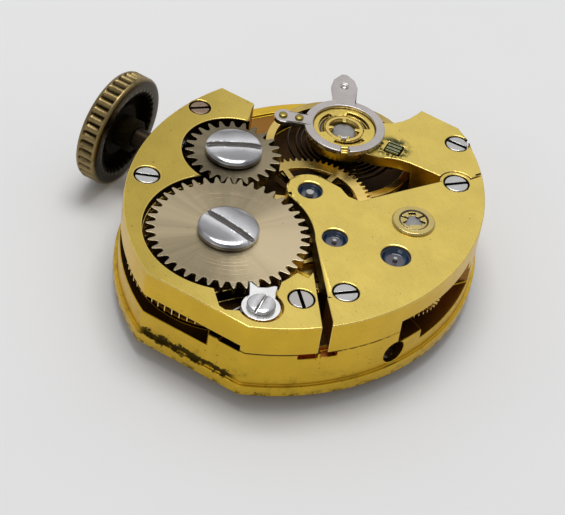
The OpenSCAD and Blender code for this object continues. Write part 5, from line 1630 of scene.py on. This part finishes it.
def escape_setting(bevel):
    """The raised setting of the escape wheel's cap jewel, with a dark ring of painted shade in its groove and
    a slotted clip.
    """
    z = SETTING_Z
    setting = [(0.2, z), (0.66, z), (0.66, z + 0.42), (0.78, z + 0.42), (0.78, z + 0.47),
               (0.73, z + 0.52), (0.53, z + 0.52), (0.5, z + 0.48), (0.5, z + 0.44),
               (0.32, z + 0.44), (0.32, z + 0.1), (0.2, z + 0.1)]
    section = oblong(0.49, 0.535, z + 0.45, z + 0.522)
    shade_ring = revolve(section, ESCAPE, FINE, FINISHES["dark"], closed=True)
    rim = Carving(revolve(setting, ESCAPE, FINE, FINISHES["pale"], closed=True)).join(shade_ring)
    rim.finish("escape_setting_piece", "frame", ["escape_setting"], "gilt_plate", bevel=bevel)
    # The clip's openings are cut in dark steel: painted shade on their walls
    dark = FINISHES["dark"]
    clip = Carving(disc(ESCAPE, 0.48, TOP + 0.03, TOP + 0.08, FINISHES["pale"], SMOOTH))
    clip.cut(disc(ESCAPE, 0.24, 0, FAR_OVER, dark, COARSE)).settle()
    for turn in (10, 130, 250):
        clip.cut(bar(ESCAPE + polar(0.25, turn), 0.34, 0.26, turn, 0, FAR_OVER, dark))
    for turn in (70, 190):
        clip.cut(bar(ESCAPE + polar(0.4, turn), 0.5, 0.07, turn, 0, FAR_OVER, dark))
    clip.finish("escape_clip_piece", "frame", ["escape_clip"], "train_brass", bevel=bevel * 0.8)


class MOVEMENT_OT_jewels(bpy.types.Operator):
    """Builds the train jewels, the pivots in them, the escape wheel's setting and the cap jewels."""

    bl_idname = "movement.jewels"
    bl_label = "Jewels and settings"

    def execute(self, context):
        bevel = context.scene.movement_sizes.small_bevel
        blue, grey = FINISHES["jewel"], FINISHES["cap"]
        jewels = [jewel_solid(place, TOP - 0.09, rim - 0.035, hole, blue) for place, rim, hole in TRAIN_SEATS]
        Carving(gathered(jewels)).finish("train_jewels", "frame", ["bridge_jewels"], "jewel")
        for (place, rim, hole), name in zip(TRAIN_SEATS, ("centre", "third", "fourth")):
            radius = hole - 0.005
            tip = [(radius, TOP - 0.4)] + rounded_end(radius, 0.05, TOP - 0.23, 6)
            Carving(revolve(tip, place, COARSE, FINISHES["pivot"])).finish(f"{name}_pivot", f"{name}_body")
        escape_setting(bevel)
        top_cap = [(0, COCK_Z + 0.2), (0.45, COCK_Z + 0.2)] + rounded_end(0.45, 0.09, COCK_Z + 0.34, 7, 0.5)
        caps = [disc(ESCAPE, 0.32, TOP - 0.16, TOP + 0.01, grey, PLAIN),
                revolve(top_cap, BALANCE, PLAIN, grey),
                disc(BALANCE, 0.36, 0.72, 0.96, grey, PLAIN)]
        Carving(gathered(caps)).finish("cap_jewels_piece", "frame", ["cap_jewels"], "cap_jewel", bevel=bevel)
        return {"FINISHED"}


# Regulator, shock setting and stud


def regulator(bevel):
    """The regulator: a slit ring with a pointed tail and a rounded arm for the pins."""
    z, top, steel = REGULATOR_Z, REGULATOR_Z + 0.2, FINISHES["ring"]
    work = Carving(disc(BALANCE, RING_OUTER, z, top, steel))
    half_tail = [(1.2, 0.42), (1.8, 0.46), (2.3, 0.5), (2.7, 0.4), (2.97, 0.17), (3.05, 0.1)]
    tail = [(x, -y) for x, y in half_tail] + half_tail[::-1]
    work.join(moved(prism(tail, z, top, steel), set_at(BALANCE, TAIL_TURN))).settle()
    arm = prism(oblong(1.2, 2.25, -0.3, 0.3), z, top, steel)
    work.join(moved(arm, set_at(BALANCE, ARM_TURN)))
    work.join(disc(BALANCE + polar(2.25, ARM_TURN), 0.38, z, top, steel, SMOOTH)).settle()
    work.cut(disc(BALANCE, RING_INNER, 0, FAR_OVER, steel))
    slit = prism(oblong(0.5, 2.5, -0.12, 0.12), 0, FAR_OVER, steel)
    work.cut(moved(slit, set_at(BALANCE, TAIL_TURN + 180)))
    turn = np.linspace(-math.pi / 2, math.pi / 2, 9)
    ball = np.stack([0.18 * np.cos(turn), top + 0.06 + 0.18 * np.sin(turn)], axis=1)
    work.cut(revolve(ball, BALANCE + polar(2.33, TAIL_TURN), COARSE, steel))
    work.finish("regulator_piece", "regulator_body", ["regulator"], "steel", bevel=bevel * 2.4)


def curb_pins():
    """The two pins' round heads on the regulator's arm."""
    z, top = REGULATOR_Z, REGULATOR_Z + 0.2
    shank = [(0, z - 0.1), (0.09, z - 0.1), (0.09, top), (0.16, top)]
    profile = shank + rounded_end(0.16, 0.05, top + 0.04, 6)
    pins = [revolve(profile, BALANCE + polar(away, ARM_TURN), COARSE, FINISHES["dull"]) for away in PIN_REACH]
    Carving(gathered(pins)).finish("curb_pin_heads", "regulator_body", ["curb_pins"], "train_brass")


def shock_blocks(bevel):
    """The bushes that hold the balance's jewels above and below."""
    upper = [(0.25, COCK_Z - 0.02), (SHOCK_R, COCK_Z - 0.02), (SHOCK_R, TOP + 0.02), (0.66, TOP + 0.02),
             (0.58, TOP - 0.1), (0.56, COCK_Z + 0.18), (0.25, COCK_Z + 0.18)]
    lower = [(0.25, 0.98), (0.52, 0.98), (0.52, 0.4), (SHOCK_R, 0.4), (SHOCK_R, 1.14), (0.25, 1.14)]
    both = [revolve(profile, BALANCE, FINE, FINISHES["bright"], closed=True) for profile in (upper, lower)]
    blocks = Carving(gathered(both))
    blocks.finish("shock_blocks_piece", "frame", ["shock_blocks"], "train_brass", bevel=bevel)


def shock_springs(bevel):
    """The lyre springs over the cap jewels: an open ring with three arms inwards and two feet."""
    gold, opening = FINISHES["bright"], -60
    springs = []
    for bottom, wide in ((TOP + 0.03, 0.70), (0.64, 0.5)):
        top = bottom + 0.05
        lyre = Carving(disc(BALANCE, wide, bottom, top, gold, SMOOTH))
        lyre.cut(disc(BALANCE, wide - 0.12, 0, FAR_OVER, gold, SMOOTH))
        place = BALANCE + polar(wide, opening)
        lyre.cut(slot_cutter(place, FAR_OVER, 0.16, opening, FAR_OVER, gold, length=0.4)).settle()
        for turn in (30, 120, 210):
            lyre.join(bar(BALANCE + polar(wide - 0.18, turn), 0.26, 0.13, turn, bottom, top, gold))
        for turn in (opening - 17, opening + 17):
            lyre.join(bar(BALANCE + polar(wide - 0.12, turn), 0.28, 0.09, opening, bottom, top, gold))
        springs.append(lyre.settle())
    collected(springs, "shock_springs_piece", "frame", ["shock_springs"], "train_brass", bevel)


def hairspring_stud(bevel):
    """The grooved stud in the cock, down to the hairspring's outer end."""
    place = BALANCE + polar(STUD_REACH, STUD_TURN)
    middle = place + polar(0.01, STUD_TURN)
    base, steel = low("hairspring_stud")[2], FINISHES["stud"]
    stud = Carving(bar(middle, 0.54, 0.54, STUD_TURN, COCK_Z - 0.2, TOP + 0.07, steel))
    # Grooves cut in dark steel: painted shade on their walls
    for step in (-0.18, 0.0, 0.18):
        groove = middle + polar(step, STUD_TURN + 90)
        stud.cut(bar(groove, 0.8, 0.05, STUD_TURN, TOP - 0.04, FAR_OVER, FINISHES["dark"]))
    stud.settle().join(bar(place, 0.3, 0.36, STUD_TURN, base, COCK_Z - 0.1, steel))
    stud.finish("stud_piece", "frame", ["hairspring_stud"], "dark_steel", bevel=bevel)


class MOVEMENT_OT_regulator(bpy.types.Operator):
    """Builds the regulator, its pin heads, the shock setting with its spring and the stud."""

    bl_idname = "movement.regulator"
    bl_label = "Regulator and shock setting"

    def execute(self, context):
        bevel = context.scene.movement_sizes.small_bevel
        regulator(bevel)
        curb_pins()
        shock_blocks(bevel)
        shock_springs(bevel * 0.7)
        hairspring_stud(bevel * 1.8)
        return {"FINISHED"}


# Barrel, train and balance


def spoked(outline, middle, bottom, top, rim, hub, hole, arms, turn, width, material):
    """A toothed wheel: its blank less the ring between hub and rim, with the arms put back."""
    work = Carving(prism(outline, bottom, top, material))
    section = oblong(hub, rim, bottom - 1, top + 1)
    gap = Carving(revolve(section, middle, FINE, material, closed=True))
    for i in range(arms):
        spin = turn + i * 360 / arms
        place = np.asarray(middle) + polar(rim / 2 + 0.2, spin)
        gap.cut(bar(place, rim + 0.8, width, spin, bottom - 2, top + 2, material))
    work.cut(gap.taken())
    return work.cut(disc(middle, hole, 0, FAR_OVER, material, PLAIN)).settle()


# Each wheel: middle, teeth, module, inside of the rim, hub, hole, arms, their turn and width

TRAIN_WHEELS = {
    "centre": (HANDS, 64, 0.07167, 1.81, 0.7, 0.3, 6, 89.5, 0.22),
    "third": (THIRD, 60, 0.06595, 1.6, 0.5, 0.16, 5, 20, 0.2),
    "fourth": (FOURTH, 60, 0.0603, 1.48, 0.45, 0.15, 5, 20, 0.18),
}
BARREL_MODULE = 0.0932
TOOTH_DEPTH = 2.25
TOOTH_TIP_SHARE = 0.16
TOOTH_ROOT_SHARE = 0.6


def train_teeth(name, middle, count, module):
    """Toothed outline that lies on a node's own teeth, 2.25 modules deep."""
    tip, turn = measured_teeth(name, middle, count)
    root = tip - TOOTH_DEPTH * module
    return middle + teeth_outline(count, tip, root, TOOTH_TIP_SHARE, TOOTH_ROOT_SHARE, turn)


class MOVEMENT_OT_train(bpy.types.Operator):
    """Builds the barrel's drum and the centre, third and fourth wheels."""

    bl_idname = "movement.train"
    bl_label = "Barrel and train wheels"

    def execute(self, context):
        bevel = context.scene.movement_sizes.small_bevel * 0.8
        for which, (middle, count, module, rim, hub, hole, arms, turn, width) in TRAIN_WHEELS.items():
            name = f"{which}_wheel"
            metal = FINISHES["centre" if which == "centre" else "brass"]
            outline = train_teeth(name, middle, count, module)
            bottom, top = low(name)[2], high(name)[2]
            work = spoked(outline, middle, bottom, top, rim, hub, hole, arms, turn, width, metal)
            work.finish(f"{name}_piece", f"{which}_body", [name], "train_brass", bevel=bevel)

        bottom, top = low("barrel_drum")[2], high("barrel_drum")[2]
        outline = train_teeth("barrel_drum", BARREL, BARREL_TEETH, BARREL_MODULE)
        drum = Carving(prism(outline, top - 0.4, top, FINISHES["brass"]))
        shell = [(0.58, top), (3.0, top), (3.15, top - 0.15), (3.15, bottom), (3.01, bottom),
                 (3.01, top - 0.14), (0.58, top - 0.14)]
        drum.join(revolve(shell, BARREL, DRUM_SIDES, FINISHES["brass"], closed=True))
        drum.finish("barrel_drum_piece", "barrel_body", ["barrel_drum"], "train_brass", bevel=bevel)
        return {"FINISHED"}


def balance_wheel(bevel):
    """The balance: a plain rim on three arms."""
    brass = FINISHES["rim"]
    rim_z = PLATE_TOP + 0.07
    arm_z, arm_top = rim_z + 0.06, rim_z + 0.16
    section = oblong(2.5, 2.8, rim_z, rim_z + 0.25)
    work = Carving(revolve(section, BALANCE, RIM_SIDES, brass, closed=True))
    for turn in (40, 160, 280):
        work.join(bar(BALANCE + polar(1.3, turn), 2.6, 0.26, turn, arm_z, arm_top, brass))
    work.join(disc(BALANCE, 0.42, arm_z, arm_top, brass, SMOOTH)).settle()
    work.cut(disc(BALANCE, 0.2, 0, FAR_OVER, brass, COARSE))
    work.finish("balance_wheel_piece", "balance_body", ["balance_wheel"], "train_brass", bevel=bevel)


def hairspring(turns):
    """Ribbon whose radius grows evenly with the turn, then steps out smoothly to the stud.

    It grows until 200 degrees before its end, and the step starts 240 degrees before it.
    """
    thick, height, step, collet = 0.04, 0.12, 0.15, 0.31
    even_end, step_start, step_turn, points_each = 200, 240, 55, 72
    whole = 360 * turns
    angle = np.linspace(0, whole, points_each * turns + 1)
    grown = np.minimum(1, angle / (whole - even_end))
    late = np.clip((angle - whole + step_start) / step_turn, 0, 1)
    reach = STUD_REACH - collet - step - thick / 2
    radius = collet + reach * grown + step * late * late * (3 - 2 * late)
    section = np.array(oblong(0, thick, 0, height))
    points = np.empty((len(angle), 4, 3))
    points[..., :2] = BALANCE + polar(radius[:, None] + section[None, :, 0], (angle + STUD_TURN)[:, None])
    points[..., 2] = low("hairspring")[2] + section[None, :, 1]
    ends = [[3, 2, 1, 0], (np.arange(4) + (len(angle) - 1) * 4).tolist()]
    ribbon = raw(points.reshape(-1, 3), tube_grid(points, False, True) + ends, FINISHES["hair"])
    Carving(ribbon).finish("hairspring_ribbon", "frame", ["hairspring"], "hairspring")


class MOVEMENT_OT_balance(bpy.types.Operator):
    """Builds the balance wheel and its hairspring."""

    bl_idname = "movement.balance"
    bl_label = "Balance and hairspring"

    def execute(self, context):
        balance_wheel(context.scene.movement_sizes.small_bevel * 1.4)
        hairspring(context.scene.movement_sizes.hair_turns)
        return {"FINISHED"}


# Crown and stem


def crown_profile():
    """Profile of the crown as (outwards, radius), with the shares of its flutes and inner notches."""
    rim, width = 0.13, CROWN_WIDTH
    hub = [(-0.4, 0.385), (-0.4, 0.58), (-0.36, 0.62), (0.3, 0.62), (0.3, 1.0), (0.34, 1.02), (0.5, 1.04)]
    inside = [(0.5, 1.6), (0.46, 1.62), (0.04, 1.62), (0.0, 1.66)]
    face = [(0.0, 1.8), (0.0, 1.97), (0.012, 2.05), (0.035, 2.105), (0.075, 2.145), (0.11, 2.16)]
    steps = (0.01, 0.03, 0.06, 0.12)
    band = [(rim + step, CROWN_R) for step in steps]
    band += [(width - rim - step, CROWN_R) for step in reversed(steps)]
    back = [(-0.11, 2.16), (-0.06, 2.145), (-0.02, 2.11), (0.02, 2.03), (0.1, 1.85), (0.17, 1.62),
            (0.22, 1.4), (0.27, 1.1), (0.3, 0.8), (0.315, 0.4), (0.32, 0.0)]
    back = [(width + out, radius) for out, radius in back]
    plain = [0] * len(hub + inside + face)
    share = plain + [0, 0.35, 0.8, 1, 1, 0.8, 0.35, 0] + [0] * len(back)
    notched = [0] * len(hub) + [1, 1, 1, 0.3] + [0] * len(face + band + back)
    return np.array(hub + inside + face + band + back), np.array(share), np.array(notched)


class MOVEMENT_OT_crown(bpy.types.Operator):
    """Builds the fluted crown and the stem.

    With w = (1 + cos n t) / 2, the band's radius is R - d (1 - w ** 0.55) for the flutes, and the
    inside's is less by a share of w for the notches.
    """

    bl_idname = "movement.crown"
    bl_label = "Crown and stem"

    def execute(self, context):
        flute_depth, flute_power, notch_depth = 0.135, 0.55, 0.11
        flutes, steps_each = context.scene.movement_sizes.flutes, 12
        around = flutes * steps_each
        profile, share, notched = crown_profile()
        turn = np.arange(around) * 2 * math.pi / around
        wave = (1 + np.cos(flutes * turn[:, None])) / 2
        fluted = flute_depth * share * (1 - wave ** flute_power)
        radius = profile[:, 1] - fluted - notch_depth * notched * wave
        points = np.empty((len(turn), len(profile), 3))
        points[..., 0] = CROWN_X - profile[:, 0]
        points[..., 1] = radius * np.cos(turn)[:, None]
        points[..., 2] = STEM_Z + radius * np.sin(turn)[:, None]
        mouth = (np.arange(len(turn)) * len(profile)).tolist()
        mesh = raw(points.reshape(-1, 3), tube_grid(points, True, False) + [mouth], FINISHES["crown"])
        Carving(mesh).finish("crown_piece", "stem_and_crown", ["crown"], "crown_metal", angle=38)
        stem = [(0, -8.2), (0.38, -8.2), (0.38, -5.79), (0.34, -5.75), (0.24, -5.75), (0.24, -5.45),
                (0.38, -5.45), (0.38, -5.34), (0.32, -5.34), (0.32, -4.4), (0.24, -4.38), (0.24, -2.56),
                (0.16, -2.56), (0.16, -2.12), (0, -2.12)]
        rod = Carving(along_x(revolve(stem, (0, 0), SMOOTH, FINISHES["stem"]), 0))
        rod.finish("stem_piece", "stem_and_crown", ["winding_stem"], "dark_steel", bevel=0.015)
        return {"FINISHED"}


STEPS = [
    MOVEMENT_OT_stage,
    MOVEMENT_OT_finishes,
    MOVEMENT_OT_mainplate,
    MOVEMENT_OT_barrel_bridge,
    MOVEMENT_OT_train_bridge,
    MOVEMENT_OT_balance_cock,
    MOVEMENT_OT_screws,
    MOVEMENT_OT_winding,
    MOVEMENT_OT_jewels,
    MOVEMENT_OT_regulator,
    MOVEMENT_OT_train,
    MOVEMENT_OT_balance,
    MOVEMENT_OT_crown,
]


class MOVEMENT_PT_panel(bpy.types.Panel):
    """Lists the movement's settings and pieces."""

    bl_label = "Movement"
    bl_idname = "MOVEMENT_PT_panel"
    bl_space_type = "VIEW_3D"
    bl_region_type = "UI"
    bl_category = "Movement"

    def draw(self, context):
        for settings in (context.scene.movement_sizes, context.scene.movement_colours):
            for name in settings.__annotations__:
                self.layout.prop(settings, name)
        for step in STEPS:
            self.layout.operator(step.bl_idname)


CLASSES = [MovementSizes, MovementColours, *STEPS, MOVEMENT_PT_panel]


def register():
    """Registers the classes and hangs the settings on the scene."""
    for made in CLASSES:
        bpy.utils.register_class(made)
    bpy.types.Scene.movement_sizes = PointerProperty(type=MovementSizes)
    bpy.types.Scene.movement_colours = PointerProperty(type=MovementColours)


def unregister():
    """Takes the settings and the classes away again."""
    del bpy.types.Scene.movement_colours
    del bpy.types.Scene.movement_sizes
    for made in reversed(CLASSES):
        bpy.utils.unregister_class(made)


def main():
    """Builds the stage, the finishes and every piece in order."""
    register()
    for step in STEPS:
        group_name, step_name = step.bl_idname.split(".")
        getattr(getattr(bpy.ops, group_name), step_name)()


if __name__ == "__main__":
    main()
